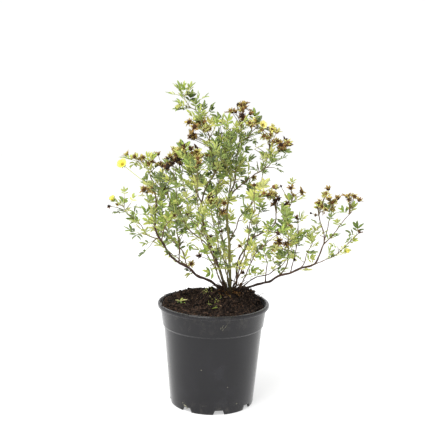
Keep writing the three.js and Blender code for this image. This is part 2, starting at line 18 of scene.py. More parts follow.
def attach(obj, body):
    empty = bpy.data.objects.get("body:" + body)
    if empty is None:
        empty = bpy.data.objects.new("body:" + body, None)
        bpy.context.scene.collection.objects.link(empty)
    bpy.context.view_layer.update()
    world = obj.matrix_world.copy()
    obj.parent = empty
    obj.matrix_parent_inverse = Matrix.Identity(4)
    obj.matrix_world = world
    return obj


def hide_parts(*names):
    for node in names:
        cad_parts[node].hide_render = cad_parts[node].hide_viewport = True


MM = 0.001
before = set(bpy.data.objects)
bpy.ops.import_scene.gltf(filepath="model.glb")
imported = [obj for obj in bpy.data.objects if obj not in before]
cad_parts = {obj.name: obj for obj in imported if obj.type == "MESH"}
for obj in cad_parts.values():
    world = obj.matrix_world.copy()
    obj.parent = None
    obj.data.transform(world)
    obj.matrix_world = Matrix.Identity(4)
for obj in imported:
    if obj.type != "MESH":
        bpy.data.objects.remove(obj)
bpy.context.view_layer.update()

# %% [markdown]
# ## Chance that repeats
#
# No two leaves are alike, so most sizes and angles are drawn at random. Each step has its own seed,
# and the noise has one too, because it would otherwise start from the clock. So every run grows the
# same plant, and one step can be changed without redrawing the others.

# %% Seeds
NOISE_SEED = 4
SEEDS = {"bark strips": 2600, "CAD leaves": 100, "tufts": 500, "spurs": 3000, "inner shoots": 3500,
         "CAD heads": 900, "single heads": 1300, "drifts": 4000, "caught leaves": 4600, "flowers": 1700,
         "dead twigs": 2050, "litter": 2100, "greenery": 2300}
noise.seed_set(NOISE_SEED)


def chance(step, number=0):
    """The random draws of a step, or of one numbered piece of it."""
    return random.Random(SEEDS[step] + number)


print(len(SEEDS), "steps draw at random")

# %% [markdown]
# ## Camera
#
# The photograph was taken from a little above the plant, nearly level, from well over a metre away.
# A long lens keeps the pot's sides almost straight. The slight roll repeats the photograph's own.

# %% Camera
CAMERA_PLACE = (-2.8, -1186.0, 480.0)
CAMERA_DOWN = 9.0
CAMERA_ROLL = 1.19
LENS = 67.45
SENSOR = 36.0


def add_object(name, data):
    """Makes an object of a mesh, a light or a camera and links it to the scene."""
    made = bpy.data.objects.new(name, data)
    bpy.context.scene.collection.objects.link(made)
    return made


camera_data = bpy.data.cameras.new("camera")
camera_data.lens = LENS
camera_data.sensor_width = SENSOR
camera = add_object("camera", camera_data)
tilt = Matrix.Rotation(radians(90 - CAMERA_DOWN), 3, "X") @ Matrix.Rotation(radians(CAMERA_ROLL), 3, "Z")
camera.rotation_euler = tilt.to_euler()
camera.location = Vector(CAMERA_PLACE) * MM
bpy.context.scene.camera = camera
print("camera at", [round(v, 3) for v in camera.location])

# %% [markdown]
# ## Colours and nodes
#
# Colours are given as sRGB hex values and corrected against the photograph. Blender works in linear
# light, so one function converts them. A second small function adds any shader node with its
# settings and links, and returns the one output that is used. That keeps each material down to the
# few lines that say something about it.

# %% Colour and node helpers
def linear(colour):
    """An sRGB hex colour as linear red, green, blue and an alpha of one."""
    shares = [int(colour[i:i + 2], 16) / 255 for i in (1, 3, 5)]
    return [s / 12.92 if s <= 0.04045 else ((s + 0.055) / 1.055) ** 2.4 for s in shares] + [1.0]


def add_node(material, kind, output, inputs=None, stops=None, **settings):
    """Adds a node. inputs maps a socket to a value or to another node's output; stops fill a ramp."""
    made = material.node_tree.nodes.new("ShaderNode" + kind)
    for name, value in settings.items():
        setattr(made, name, value)
    for socket, value in (inputs or {}).items():
        if isinstance(value, bpy.types.NodeSocket):
            material.node_tree.links.new(value, made.inputs[socket])
        else:
            made.inputs[socket].default_value = value
    if stops:
        elements = made.color_ramp.elements
        while len(elements) < len(stops):
            elements.new(0.5)
        for element, (place, colour) in zip(elements, stops):
            element.position = place
            element.color = linear(colour)
    return made.outputs[output]


def new_material(name, **constants):
    """A material whose constant sockets are set directly on its Principled shader."""
    material = bpy.data.materials.new(name)
    material.use_nodes = True
    shader = material.node_tree.nodes["Principled BSDF"]
    for socket, value in constants.items():
        shader.inputs[socket.replace("_", " ")].default_value = value
    return material


def wire(material, **outputs):
    """Links outputs to the sockets of the material's Principled shader."""
    shader = material.node_tree.nodes["Principled BSDF"]
    for socket, output in outputs.items():
        material.node_tree.links.new(output, shader.inputs[socket.replace("_", " ")])


# %% [markdown]
# ## Gathering a mesh
#
# A leafy shoot is hundreds of small closed blades and tubes that share one material, so they are
# gathered into one mesh a shoot. Each point can carry values of its own, such as how young its wood
# is, and the material reads them as attributes. That is how one leaf material gives many greens.

# %% Shapes and pieces
class Shape:
    """Points in millimetres, faces, and the values that each point carries for its material."""

    def __init__(self, *channels):
        self.points, self.faces, self.count = [], [], 0
        self.channels = {name: [] for name in channels}

    def add(self, points, faces, **values):
        """Adds points and the faces over them. A value is one for all the points or one for each."""
        points = np.reshape(points, (-1, 3))
        self.points.append(points)
        self.faces += [[k + self.count for k in face] for face in faces]
        self.count += len(points)
        for name, kept in self.channels.items():
            value = np.asarray(values.get(name, 0.0), float)
            kept.append(np.broadcast_to(value, (len(points), *value.shape[1:])))


def new_mesh(name, shape):
    """A mesh of a shape, in metres."""
    mesh = bpy.data.meshes.new(name)
    mesh.from_pydata((np.concatenate(shape.points) * MM).tolist(), [], shape.faces)
    return mesh


def make_piece(name, shape, material, replaces=(), sharp_over=None):
    """Turns a shape into a mesh object that rides on the one body and stands for CAD nodes."""
    mesh = new_mesh(name, shape)
    for channel, kept in shape.channels.items():
        kind, field = ("FLOAT_VECTOR", "vector") if kept[0].ndim == 2 else ("FLOAT", "value")
        attribute = mesh.attributes.new(channel, kind, "POINT")
        attribute.data.foreach_set(field, np.concatenate(kept).ravel())
    mesh.polygons.foreach_set("use_smooth", [True] * len(mesh.polygons))
    if sharp_over:
        mesh.set_sharp_from_angle(angle=radians(sharp_over))
    mesh.materials.append(material)
    piece = add_object(name, mesh)
    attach(piece, "root")
    if replaces:
        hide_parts(*replaces)
    return piece


# %% [markdown]
# ## Directions, tubes and blades
#
# Nearly everything on a plant is a tube or a blade. Both are a row of rings joined by a skin and
# closed at the ends, so they print and export as solid pieces. First come a few small helpers for
# directions: three rows hold the way that a piece points, its left and its upper side.

# %% Directions
NEARLY_UPRIGHT = 0.15


def unit(vector):
    """A vector cut to a length of one."""
    vector = np.asarray(vector, float)
    return vector / max(np.linalg.norm(vector), 1e-9)


def clamped(value, low=0, high=1):
    """A value held between two limits."""
    return min(max(value, low), high)


def heading_to(angle, rise=0.0, out=1.0):
    """A direction at an angle round the Z axis, in radians, with a rise of its own."""
    return np.array([cos(angle) * out, sin(angle) * out, rise])


def turned_to(forward, roll=0.0):
    """Rows for the forward, left and upper directions of a piece that points along forward."""
    forward = unit(forward)
    left = np.cross((0, 0, 1), forward)
    if np.linalg.norm(left) < NEARLY_UPRIGHT:
        left = np.cross((1, 0, 0), forward)
    left = unit(left)
    upper = np.cross(forward, left)
    return np.array([forward, cos(roll) * left + sin(roll) * upper, cos(roll) * upper - sin(roll) * left])


def swung(rows, swing, lift=0):
    """A direction swung to the left and lifted, in radians, out of the way that the rows point."""
    return cos(lift) * (cos(swing) * rows[0] + sin(swing) * rows[1]) + sin(lift) * rows[2]


def spoke_and_rows(rows, turn, rise):
    """For a petal or a sepal of a flower with these rows: its spoke, and its own three rows."""
    spoke = cos(turn) * rows[1] + sin(turn) * rows[2]
    outward = cos(rise) * spoke + sin(rise) * rows[0]
    inner = unit(rows[0] - outward * outward.dot(rows[0]))
    return spoke, np.array([outward, np.cross(inner, outward), inner])


print("a flower that faces the camera has its left side towards", turned_to((0, -1, 0))[1].round(2) + 0)

# %% [markdown]
# A tube's rings turn with its path by the least amount from one to the next, so that the bark
# doesn't twist. Every point also keeps its place round and along the tube, which the bark's grain
# follows.

# %% Skins
def add_skin(shape, rings, **values):
    """Adds a closed skin over an array of rings, each with the same number of points."""
    count, sides = rings.shape[:2]
    faces = []
    for first in range(0, (count - 1) * sides, sides):
        for k in range(sides):
            a, b = first + k, first + (k + 1) % sides
            faces.append((a, b, b + sides, a + sides))
    faces.append(range(sides - 1, -1, -1))
    faces.append(range((count - 1) * sides, count * sides))
    shape.add(rings, faces, **values)


def add_tube(shape, path, radii, sides, **values):
    """A round tube along a path of points, with closed ends."""
    path = np.asarray(path, float)
    radii = np.broadcast_to(np.asarray(radii, float), len(path))
    tangents = np.gradient(path, axis=0)
    tangents /= np.maximum(np.linalg.norm(tangents, axis=1, keepdims=True), 1e-9)
    side = turned_to(tangents[0])[1]
    angles = np.arange(sides) / sides * 2 * pi
    rings, grain, run = [], [], 0.0
    for k, (place, tangent) in enumerate(zip(path, tangents)):
        side = unit(side - tangent * side.dot(tangent))
        turn = np.outer(np.cos(angles), side) + np.outer(np.sin(angles), np.cross(tangent, side))
        rings.append(place + radii[k] * turn)
        run += np.linalg.norm(path[k] - path[k - 1]) if k else 0.0
        grain.append(np.stack([np.cos(angles) * radii[k], np.sin(angles) * radii[k],
                               np.full(sides, run)], 1))
    add_skin(shape, np.array(rings), grain=np.concatenate(grain), **values)


# %% [markdown]
# Stems and twigs run through a few named points on a smooth curve, the same kind as the CAD's.

# %% Courses through points
TWIG_STEP = 2.5
SHOOT_STEP = 4.0


def curve_at(points, share):
    """The point of a smooth curve at a share of its spans: the same curve as the CAD follows."""
    points = np.asarray(points, float)
    spans = len(points) - 1
    k = min(int(share * spans), spans - 1)
    u = share * spans - k
    before = points[k - 1] if k else 2 * points[0] - points[1]
    after = points[k + 2] if k + 2 <= spans else 2 * points[-1] - points[-2]
    a, b = points[k], points[k + 1]
    return 0.5 * (2 * a + (b - before) * u + (2 * before - 5 * a + 4 * b - after) * u ** 2
                  + (3 * a - before - 3 * b + after) * u ** 3)


def course(points, step):
    """Points about a step apart along that curve."""
    length = np.linalg.norm(np.diff(np.asarray(points, float), axis=0), axis=1).sum()
    count = max(3, ceil(length / step))
    return np.array([curve_at(points, k / count) for k in range(count + 1)])


def bow(start, end, rise, step=TWIG_STEP):
    """A short twig's path from start to end that leaves steeply and bows by a share of its length."""
    start, end = np.asarray(start, float), np.asarray(end, float)
    middle = (start + end) / 2 + np.array([0, 0, rise * np.linalg.norm(end - start)])
    return course([start, middle, end], step)


print("a 20 mm twig has", len(bow((0, 0, 0), (20, 0, 0), 0.1)), "points")

# %% [markdown]
# ## A blade
#
# Leaflets, sepals and petals are all thin blades: a spine, a width that changes along it, a fold
# along the midrib, a bend towards the tip and a little twist. The width comes from one formula with
# the place of the widest point in it, so one function makes a narrow leaflet or a round petal.

# %% Blade
LEAFLET_ACROSS = (1.0, 0.5, 0.0, -0.5, -1.0)
SEPAL_ACROSS = (1.0, 0.0, -1.0)
PETAL_ACROSS = (1.0, 0.66, 0.33, 0.0, -0.33, -0.66, -1.0)
STATIONS = (0.0, 0.2, 0.52, 0.85, 1.0)
SEPAL_STATIONS = (0.0, 0.3, 0.66, 1.0)
PETAL_STATIONS = (0.0, 0.1, 0.28, 0.5, 0.72, 0.9, 1.0)
WIDE_BLADE = 6
LEAST_WIDTH = 0.08
TIP_THINNING = 0.5
RUFFLES_ACROSS = 5
RUFFLES_ALONG = 4


def half_width(share, widest, tip):
    """Half a blade's width along it, as a share of its most: zero at the base, tip at the end."""
    rising = sin(pi / 2 * min(share / widest, 1.0)) ** 0.8
    past = max(share - widest, 0.0) / (1 - widest)
    return rising * (tip + (1 - tip) * cos(pi / 2 * past) ** 0.7)


def add_blade(shape, base, rows, length, width, fold=0.25, bend=0.15, twist=0.0, widest=0.52, tip=0.14,
              thickness=0.3, across=LEAFLET_ACROSS, stations=STATIONS, ruffle=0.0, phase=0.0, **values):
    """A closed thin blade from base along rows[0], with its upper side towards rows[2]."""
    beneath = (0.0,) if len(across) < WIDE_BLADE else (-0.5, 0.0, 0.5)
    places = np.array(across + beneath)
    lower = np.array([0.0] * len(across) + [1.0] * len(beneath))
    rings = []
    for share in stations:
        half = width / 2 * max(half_width(share, widest, tip), LEAST_WIDTH)
        y = places * half
        z = fold * np.abs(y) - thickness * lower * (1 - TIP_THINNING * share)
        z = z + ruffle * half * np.sin(RUFFLES_ACROSS * places + phase + RUFFLES_ALONG * share) * share
        turn = twist * share
        y, z = y * cos(turn) - z * sin(turn), y * sin(turn) + z * cos(turn)
        z -= bend * length * share ** 2
        rings.append(np.stack([np.full(len(places), share * length), y, z], 1))
    add_skin(shape, np.array(rings) @ rows + base, vein=np.tile(np.abs(places), len(stations)),
             under=np.tile(lower, len(stations)), along=np.repeat(stations, len(places)), **values)


print("half width of a leaflet along it:", [round(half_width(s, 0.52, 0.14), 2) for s in STATIONS])

# %% [markdown]
# ## The plant's framework
#
# These are the CAD's own points. Each stem names what it grows from, its diameter at both ends, how
# many leaf places it has and from what share of its length, the radius of a dried head at its tip,
# and the points that it runs through. The photograph shows the plant from the front only, so the
# stems that lean to the front and to the back are spread so that their outlines fall on those of the
# stems it shows.

# %% Stems
def stem(on, across, leaf_places, leafy_from, head, *through):
    """One row of the table of stems."""
    return {"on": on, "across": across, "leaves": leaf_places, "from": leafy_from, "head": head,
            "through": through}


STEMS = {
    "low_left_stem": stem("crown", (4.2, 2.8), 3, 0.6, 0,
        (22, 9, 162), (13, 8, 176), (0, 2, 184), (-20, -6, 196), (-40, -12, 211), (-64, -16, 229),
        (-79, -18, 249), (-87, -20, 268), (-88, -22, 300)),
    "centre_left_stem": stem("crown", (4, 2.6), 2, 0.6, 0,
        (22, 7, 162), (17, 3, 179), (8, -2, 208), (-2, -6, 236), (-11, -10, 262), (-18, -12, 287),
        (-21, -12, 312)),
    "upright_stem": stem("crown", (4.8, 3), 2, 0.5, 0,
        (24, 9, 162), (25, 8, 179), (24, 8, 208), (22, 6, 239), (19, 4, 269), (17, 4, 299),
        (22, 4, 321)),
    "right_stem": stem("crown", (3, 1.6), 4, 0.3, 0,
        (27, 8, 162), (33, 2, 182), (35, -8, 222), (45, -14, 241), (56, -18, 258), (67, -20, 264),
        (77, -22, 272), (88, -24, 289), (90, -24, 307)),
    "low_right_stem": stem("crown", (4, 2.8), 2, 0.7, 0,
        (28, 10, 162), (37, 10, 173), (50, 8, 177), (75, 4, 186), (100, 0, 198), (130, -4, 212),
        (150, -6, 219)),
    "front_left_stem": stem("crown", (3.4, 1.4), 9, 0.3, 7,
        (22, 5, 162), (19, -3, 178), (8, -24, 211), (-8, -48, 250), (-21, -68, 291), (-26, -82, 331),
        (-25, -92, 374)),
    "front_low_left_stem": stem("crown", (3.2, 1.2), 6, 0.35, 4,
        (22, 5, 160), (15, -4, 176), (5, -29, 205), (-3, -58, 242), (-18, -84, 275), (-39, -102, 306)),
    "front_stem": stem("crown", (3.2, 1.4), 5, 0.35, 5,
        (25, 5, 162), (25, -5, 177), (17, -34, 216), (6, -62, 258), (-4, -80, 298), (-7, -86, 319)),
    "front_right_stem": stem("crown", (3.4, 1), 7, 0.25, 6,
        (28, 6, 162), (31, -1, 178), (36, -22, 208), (43, -50, 241), (48, -76, 276), (52, -90, 314),
        (52, -94, 346)),
    "front_low_right_stem": stem("crown", (3, 1.2), 6, 0.3, 5,
        (29, 6, 160), (36, 0, 172), (46, -28, 206), (57, -56, 240), (72, -80, 264), (88, -98, 282)),
    "back_left_stem": stem("crown", (3.4, 1.3), 8, 0.3, 5,
        (22, 12, 162), (15, 17, 178), (2, 32, 199), (-19, 50, 235), (-40, 64, 280), (-51, 74, 326),
        (-62, 80, 365)),
    "back_stem": stem("crown", (3.6, 1.4), 9, 0.35, 4,
        (24, 13, 162), (24, 20, 178), (19, 42, 206), (9, 64, 248), (2, 82, 298), (5, 90, 340),
        (7, 96, 406)),
    "back_right_stem": stem("crown", (3.4, 1.3), 8, 0.4, 4,
        (27, 12, 162), (33, 17, 177), (43, 36, 202), (57, 58, 234), (68, 76, 273), (71, 86, 308),
        (76, 94, 350), (85, 98, 389)),
    "back_low_left_stem": stem("crown", (3.2, 1.2), 7, 0.35, 5,
        (21, 11, 160), (11, 15, 173), (-19, 40, 184), (-46, 68, 197), (-75, 92, 215), (-96, 110, 244),
        (-101, 120, 277)),
    "back_low_right_stem": stem("crown", (3.2, 1.2), 7, 0.35, 5,
        (28, 12, 161), (38, 18, 172), (64, 44, 181), (94, 72, 187), (117, 92, 204), (131, 104, 232),
        (136, 110, 266)),
    "back_far_stem": stem("crown", (3.2, 1.2), 7, 0.35, 5,
        (25, 14, 160), (27, 24, 173), (23, 56, 192), (15, 90, 222), (7, 118, 266), (0, 130, 308)),
    "left_spire": stem("low_left_stem", (2.4, 1.2), 6, 0.1, 0,
        (-88, -22, 300), (-91, -22, 328), (-97, -18, 352), (-103, -14, 367)),
    "left_outer_shoot": stem("low_left_stem", (2, 1), 5, 0.15, 0,
        (-80, -18, 253), (-98, -24, 262), (-112, -28, 280), (-127, -30, 292), (-137, -30, 308)),
    "left_inner_shoot": stem("low_left_stem", (2, 1.1), 3, 0.2, 5,
        (-79, -18, 249), (-76, -32, 266), (-71, -40, 279), (-60, -46, 295)),
    "left_mid_shoot": stem("low_left_stem", (2, 1.2), 6, 0.15, 0,
        (-53, -14, 221), (-55, -4, 249), (-62, 4, 284), (-72, 8, 317), (-79, 12, 344)),
    "left_back_shoot": stem("low_left_stem", (2, 1), 6, 0.25, 4,
        (-40, -12, 211), (-51, 20, 232), (-77, 48, 255), (-101, 62, 280), (-108, 70, 311)),
    "centre_left_fork": stem("centre_left_stem", (2.4, 1.2), 5, 0.2, 0,
        (-21, -12, 312), (-30, -18, 330), (-35, -22, 352), (-41, -24, 374)),
    "tall_left_stem": stem("centre_left_stem", (2.6, 1.6), 7, 0.2, 0,
        (-21, -12, 312), (-14, -6, 336), (-4, 0, 355), (-6, 6, 385), (-14, 8, 410), (-22, 10, 424)),
    "top_left_tip": stem("tall_left_stem", (1.6, 1), 6, 0.2, 0,
        (-22, 10, 424), (-30, 12, 444), (-40, 14, 452), (-48, 14, 462), (-51, 14, 468)),
    "centre_side_branch": stem("centre_left_stem", (2.4, 1.2), 7, 0.2, 0,
        (-4, -6, 240), (-20, -22, 258), (-37, -38, 273), (-50, -50, 296), (-55, -54, 323),
        (-59, -54, 351)),
    "ladder_shoot": stem("upright_stem", (2.4, 1.2), 5, 0.3, 0,
        (22, 4, 321), (32, 6, 331), (42, 8, 340), (59, 12, 352), (76, 16, 362), (87, 18, 375),
        (97, 20, 388)),
    "upright_left_fork": stem("upright_stem", (2.4, 1.2), 6, 0.2, 0,
        (22, 4, 321), (20, -2, 346), (12, -6, 371), (14, -8, 396), (17, -10, 421)),
    "upright_right_fork": stem("upright_stem", (2.6, 1.6), 7, 0.2, 0,
        (22, 4, 321), (28, 8, 344), (31, 12, 369), (36, 14, 404), (38, 14, 429)),
    "top_right_spray": stem("upright_right_fork", (1.6, 1), 2, 0.2, 0,
        (36, 14, 399), (46, 10, 407), (54, 6, 418), (60, 4, 422)),
    "thin_right_stem": stem("upright_stem", (2.2, 1.2), 6, 0.3, 0,
        (23, 6, 249), (31, -8, 271), (39, -18, 291), (49, -24, 308), (59, -28, 318), (66, -30, 324)),
    "right_front_shoot": stem("right_stem", (1.6, 1), 2, 0.2, 5.5,
        (77, -22, 272), (87, -36, 270), (98, -46, 276), (107, -50, 283)),
    "right_mid_shoot": stem("low_right_stem", (2.2, 1.1), 8, 0.15, 0,
        (100, 0, 198), (108, 4, 212), (113, 8, 233), (111, 10, 258), (105, 10, 280), (109, 12, 300),
        (116, 12, 316)),
    "right_low_twig": stem("low_right_stem", (1.8, 1), 2, 0.3, 4.5,
        (77, 4, 187), (80, -6, 213), (78, -10, 230), (70, -13, 246)),
    "right_back_shoot": stem("low_right_stem", (1.8, 1), 4, 0.25, 5,
        (115, -2, 205), (123, 26, 222), (131, 50, 247), (129, 62, 280)),
    "right_inner_shoot": stem("low_right_stem", (1.8, 1), 4, 0.2, 0,
        (130, -4, 212), (142, 16, 226), (151, 30, 244), (152, 38, 261)),
    "right_up_stem": stem("low_right_stem", (2.8, 1.4), 3, 0.3, 4,
        (150, -6, 219), (157, -8, 232), (162, -10, 252), (161, -12, 270), (156, -12, 287),
        (151, -12, 307)),
    "right_fork": stem("right_up_stem", (1.8, 1.1), 2, 0.3, 0,
        (162, -11, 258), (171, 6, 277), (177, 20, 295)),
    "right_far_shoot": stem("right_up_stem", (1.8, 1.1), 2, 0.3, 0,
        (162, -10, 252), (174, -22, 267), (185, -32, 288), (199, -38, 308)),
    "right_low_shoot": stem("low_right_stem", (1.8, 1), 4, 0.25, 5,
        (150, -6, 219), (163, -16, 227), (178, -24, 236), (193, -30, 254), (210, -34, 275)),
}
print(len(STEMS), "stems")

# %% [markdown]
# A cluster of dried heads says at what share of its stem it forks off, how pale it is, from 0 for
# black to 1 for straw, and where its heads are. A flower says where its stalk runs, how open and how
# big it is, how far it has faded, and the way that it faces.

# %% Head clusters and flowers
HEAD_CLUSTERS = {
    "left_spire": (1, 0.55, [(-111, -10, 373), (-120, -16, 376), (-132, -6, 377)]),
    "left_mid_shoot": (1, 0.4, [(-82, 18, 359), (-73, 4, 355), (-88, 18, 377)]),
    "centre_side_branch": (1, 0.12, [(-62, -58, 371), (-54, -50, 376), (-68, -64, 366)]),
    "centre_left_fork": (1, 0.12, [(-48, -22, 391), (-38, -34, 390), (-30, -18, 391)]),
    "tall_left_stem": (0.93, 0.42, [(-36, 2, 413), (-41, 2, 427), (-33, -8, 421)]),
    "upright_right_fork": (1, 0.25, [(22, 12, 443), (34, 24, 445), (36, 2, 438), (48, 8, 441),
                                     (42, 18, 456)]),
    "top_right_spray": (1, 0.8, [(69, 2, 411), (80, 8, 415), (82, -4, 403)]),
    "ladder_shoot": (1, 0.22, [(96, 12, 396), (103, 24, 402), (110, 26, 395)]),
    "thin_right_stem": (1, 0.6, [(71, -26, 342), (78, -38, 328)]),
    "right_stem": (1, 0.12, [(92, -30, 319), (103, -20, 310), (88, -18, 334)]),
    "right_mid_shoot": (1, 0.5, [(129, 16, 326), (113, 8, 331)]),
    "right_fork": (1, 0.5, [(162, 14, 307), (173, 24, 313), (187, 30, 314), (170, 14, 330)]),
    "right_far_shoot": (1, 0.45, [(191, -34, 326), (199, -46, 328), (208, -36, 321)]),
}
FLOWERS = {
    "left_flower": {"on": "left_spire", "at": 0.4, "open": 0.85, "size": 1.0, "faded": 0,
                    "facing": (-0.35, -0.75, 0.55),
                    "through": [(-104, -22, 340), (-117, -24, 350), (-136, -25, 365)]},
    "far_left_flower": {"on": "left_outer_shoot", "at": 1, "open": 0.35, "size": 0.85, "faded": 0.5,
                        "facing": (-0.45, -0.35, 0.85), "through": [(-143, -31, 311), (-149, -32, 313)]},
    "top_flower": {"on": "top_right_spray", "at": 0.9, "open": 0.8, "size": 0.8, "faded": 2.3,
                   "facing": (0.3, -0.8, 0.55), "through": [(64, -4, 420), (66, -8, 425)]},
    "right_flower": {"on": "right_low_shoot", "at": 0.55, "open": 0.3, "size": 0.65, "faded": 0,
                     "facing": (0.75, -0.5, 0.3), "through": [(186, -32, 240), (191, -37, 246)]},
}
print(sum(len(heads) for at, tint, heads in HEAD_CLUSTERS.values()), "clustered heads")

# %% [markdown]
# A real stem never follows a clean curve, so every point is moved a little by smooth noise. Because
# the noise depends on the place only, a leaf and the stem under it move alike and stay joined. Two
# more helpers turn a place in the photograph into a place in depth, and back.

# %% Places on stems
WANDERS = [(3.2, 26), (0.9, 8)]
LOOK_AHEAD = 0.02


def wobble(place):
    """A steady number from 0 to 1 that differs from place to place."""
    value = sin(place * 12.9898) * 43758.5453
    return value - np.floor(value)


def wandered(place):
    """A place moved a little, always alike in one spot, so that what grows there stays joined."""
    moved = np.array(place, float)
    for reach, size in WANDERS:
        moved = moved + reach * np.array(noise.noise_vector(Vector(place) / size))
    return moved


def along_stem(name, share):
    """The point of a stem at a share of its spans, and the way that it grows there."""
    points = STEMS[name]["through"]
    after, before = [curve_at(points, clamped(share + step)) for step in (LOOK_AHEAD, -LOOK_AHEAD)]
    return wandered(curve_at(points, share)), unit(after - before)


def seen(x, z, y):
    """The true point at depth y that the camera sees at x and z on the plane through the pot's axis."""
    stretch = (y - CAMERA_PLACE[1]) / -CAMERA_PLACE[1]
    return np.array([CAMERA_PLACE[0] + (x - CAMERA_PLACE[0]) * stretch, y,
                     CAMERA_PLACE[2] + (z - CAMERA_PLACE[2]) * stretch])


def seen_from_camera(point):
    """Where the camera sees a true point on that plane: the other way round."""
    stretch = (point[1] - CAMERA_PLACE[1]) / -CAMERA_PLACE[1]
    return (CAMERA_PLACE[0] + (point[0] - CAMERA_PLACE[0]) / stretch,
            CAMERA_PLACE[2] + (point[2] - CAMERA_PLACE[2]) / stretch)


print("the upright stem ends at", along_stem("upright_stem", 1.0)[0].round(1), "mm")

# %% [markdown]
# ## The pot
#
# The pot is blow-moulded or injection-moulded polypropylene, dark grey with recycled pigment: a
# tapered body, a slightly wider collar above a small step, a rolled lip, and a foot ring with eight
# drainage notches. It is one turned outline with rounded corners.

# %% Pot outline
POT_HEIGHT = 156.0
RIM_RADIUS = 85.0
LIP_HEIGHT = 6.0
COLLAR_BASE = POT_HEIGHT - 33.5
BASE_RADIUS = 64.0
WALL = 1.4
POT_FLOOR = 2.0
PAD_RADIUS = 28.0
CHANNEL_HEIGHT = 7.0
BODY_TOP_RADIUS = 75.0
COLLAR_BASE_RADIUS = 77.2
COLLAR_TOP_RADIUS = 81.0
FOOT_RADIUS = BASE_RADIUS - 2.4
NOTCHES = 8
NOTCH_WIDTH = 18.0
FIRST_NOTCH = -80.0
POT_SEGMENTS = 128
BODY_TOP = COLLAR_BASE - 2
COLLAR_STEP_TOP = COLLAR_BASE + 2.4


def wall_radius(height):
    """The radius of the outside of the body at a height."""
    return BASE_RADIUS + (BODY_TOP_RADIUS - BASE_RADIUS) * height / BODY_TOP


def rounded(corners, steps=4):
    """An outline through corners, each given as r, z and the radius that rounds it off."""
    outline = []
    for k, (r, z, radius) in enumerate(corners):
        here = np.array([r, z])
        if not radius:
            outline.append(here)
            continue
        back = unit(np.subtract(corners[k - 1][:2], here)) * radius
        ahead = unit(np.subtract(corners[(k + 1) % len(corners)][:2], here)) * radius
        for t in np.linspace(0, 1, steps + 1):
            outline.append(here + back * (1 - t) ** 2 + ahead * t ** 2)
    return outline


POT_CORNERS = [
    (0, 0, 0), (PAD_RADIUS, 0, 0.6), (PAD_RADIUS + 2, CHANNEL_HEIGHT, 0.6),
    (FOOT_RADIUS - 1, CHANNEL_HEIGHT, 0.6), (FOOT_RADIUS, 0, 0.4), (BASE_RADIUS, 0, 1.6),
    (wall_radius(9), 9, 0), (wall_radius(14), 14, 0), (wall_radius(60), 60, 0),
    (BODY_TOP_RADIUS, BODY_TOP, 0.3), (COLLAR_BASE_RADIUS, COLLAR_BASE + 0.4, 0.4),
    (COLLAR_BASE_RADIUS + 0.2, COLLAR_STEP_TOP, 0.3), (COLLAR_TOP_RADIUS, POT_HEIGHT - LIP_HEIGHT, 0.9),
    (RIM_RADIUS, POT_HEIGHT - LIP_HEIGHT + 0.3, 1.6), (RIM_RADIUS, POT_HEIGHT - 0.4, 2.2),
    (COLLAR_TOP_RADIUS - 0.6, POT_HEIGHT, 1.4), (COLLAR_TOP_RADIUS - WALL, POT_HEIGHT - 3, 0.8),
    (COLLAR_BASE_RADIUS - WALL, COLLAR_BASE + 1, 0.5), (BODY_TOP_RADIUS - WALL, BODY_TOP, 0.5),
    (BASE_RADIUS - WALL, CHANNEL_HEIGHT + POT_FLOOR, 0.8), (PAD_RADIUS, CHANNEL_HEIGHT + POT_FLOOR, 0.5),
    (PAD_RADIUS - 2, POT_FLOOR, 0.5), (0, POT_FLOOR, 0),
]


def turned_solid(outline, segments, lifted=lambda rings: rings):
    """A solid turned round the Z axis from an outline that starts and ends on the axis."""
    inner = outline[1:-1]
    across = len(inner)
    angles = np.arange(segments) / segments * 2 * pi
    rings = lifted(np.array([[(r * cos(a), r * sin(a), z) for r, z in inner] for a in angles]))
    tips = [(0, 0, outline[0][1]), (0, 0, outline[-1][1])]
    low, high = segments * across, segments * across + 1
    sides, ends = [], []
    for k in range(segments):
        here, after = k * across, (k + 1) % segments * across
        for j in range(across - 1):
            sides.append((here + j, after + j, after + j + 1, here + j + 1))
        ends += [(low, after, here), (high, here + across - 1, after + across - 1)]
    shape = Shape()
    shape.add(np.concatenate([rings.reshape(-1, 3), tips]), sides + ends)
    return shape


pot_shape = turned_solid(rounded(POT_CORNERS), POT_SEGMENTS)
print("pot outline has", len(rounded(POT_CORNERS)), "points")

# %% [markdown]
# Moulded polypropylene has an index of about 1.49 and a soft satin surface. Handling leaves pale
# scuffs where the pigment whitens, and splashes of peat dry as a thin brown film near the rim and
# the foot. The mould's own texture is finer than a pixel, so the bump is drawn at 0.6 mm.

# %% Moulded polypropylene
pot_skin = new_material("moulded_polypropylene", IOR=1.49, Specular_IOR_Level=0.4, Sheen_Weight=0.34,
                        Sheen_Roughness=0.3)
place = add_node(pot_skin, "TexCoord", "Object")
clouds = add_node(pot_skin, "TexNoise", "Fac",
                  {"Vector": place, "Scale": 1 / 0.045, "Detail": 6.0, "Roughness": 0.65})
tone = add_node(pot_skin, "ValToRGB", "Color", {"Fac": clouds},
                stops=[(0.3, "#0c0b0f"), (0.55, "#131216"), (0.75, "#212126")])
streaks = add_node(pot_skin, "Mapping", "Vector", {"Vector": place, "Scale": (90.0, 90.0, 900.0)})
rub = add_node(pot_skin, "TexNoise", "Fac",
               {"Vector": streaks, "Scale": 1.0, "Detail": 5.0, "Roughness": 0.7})
rubbed = add_node(pot_skin, "ValToRGB", "Color", {"Fac": rub},
                  stops=[(0.62, "#000000"), (0.78, "#707070")])
worn = add_node(pot_skin, "Mix", "Result", {"Factor": rubbed, "A": tone, "B": linear("#4b4e52")},
                data_type="RGBA")
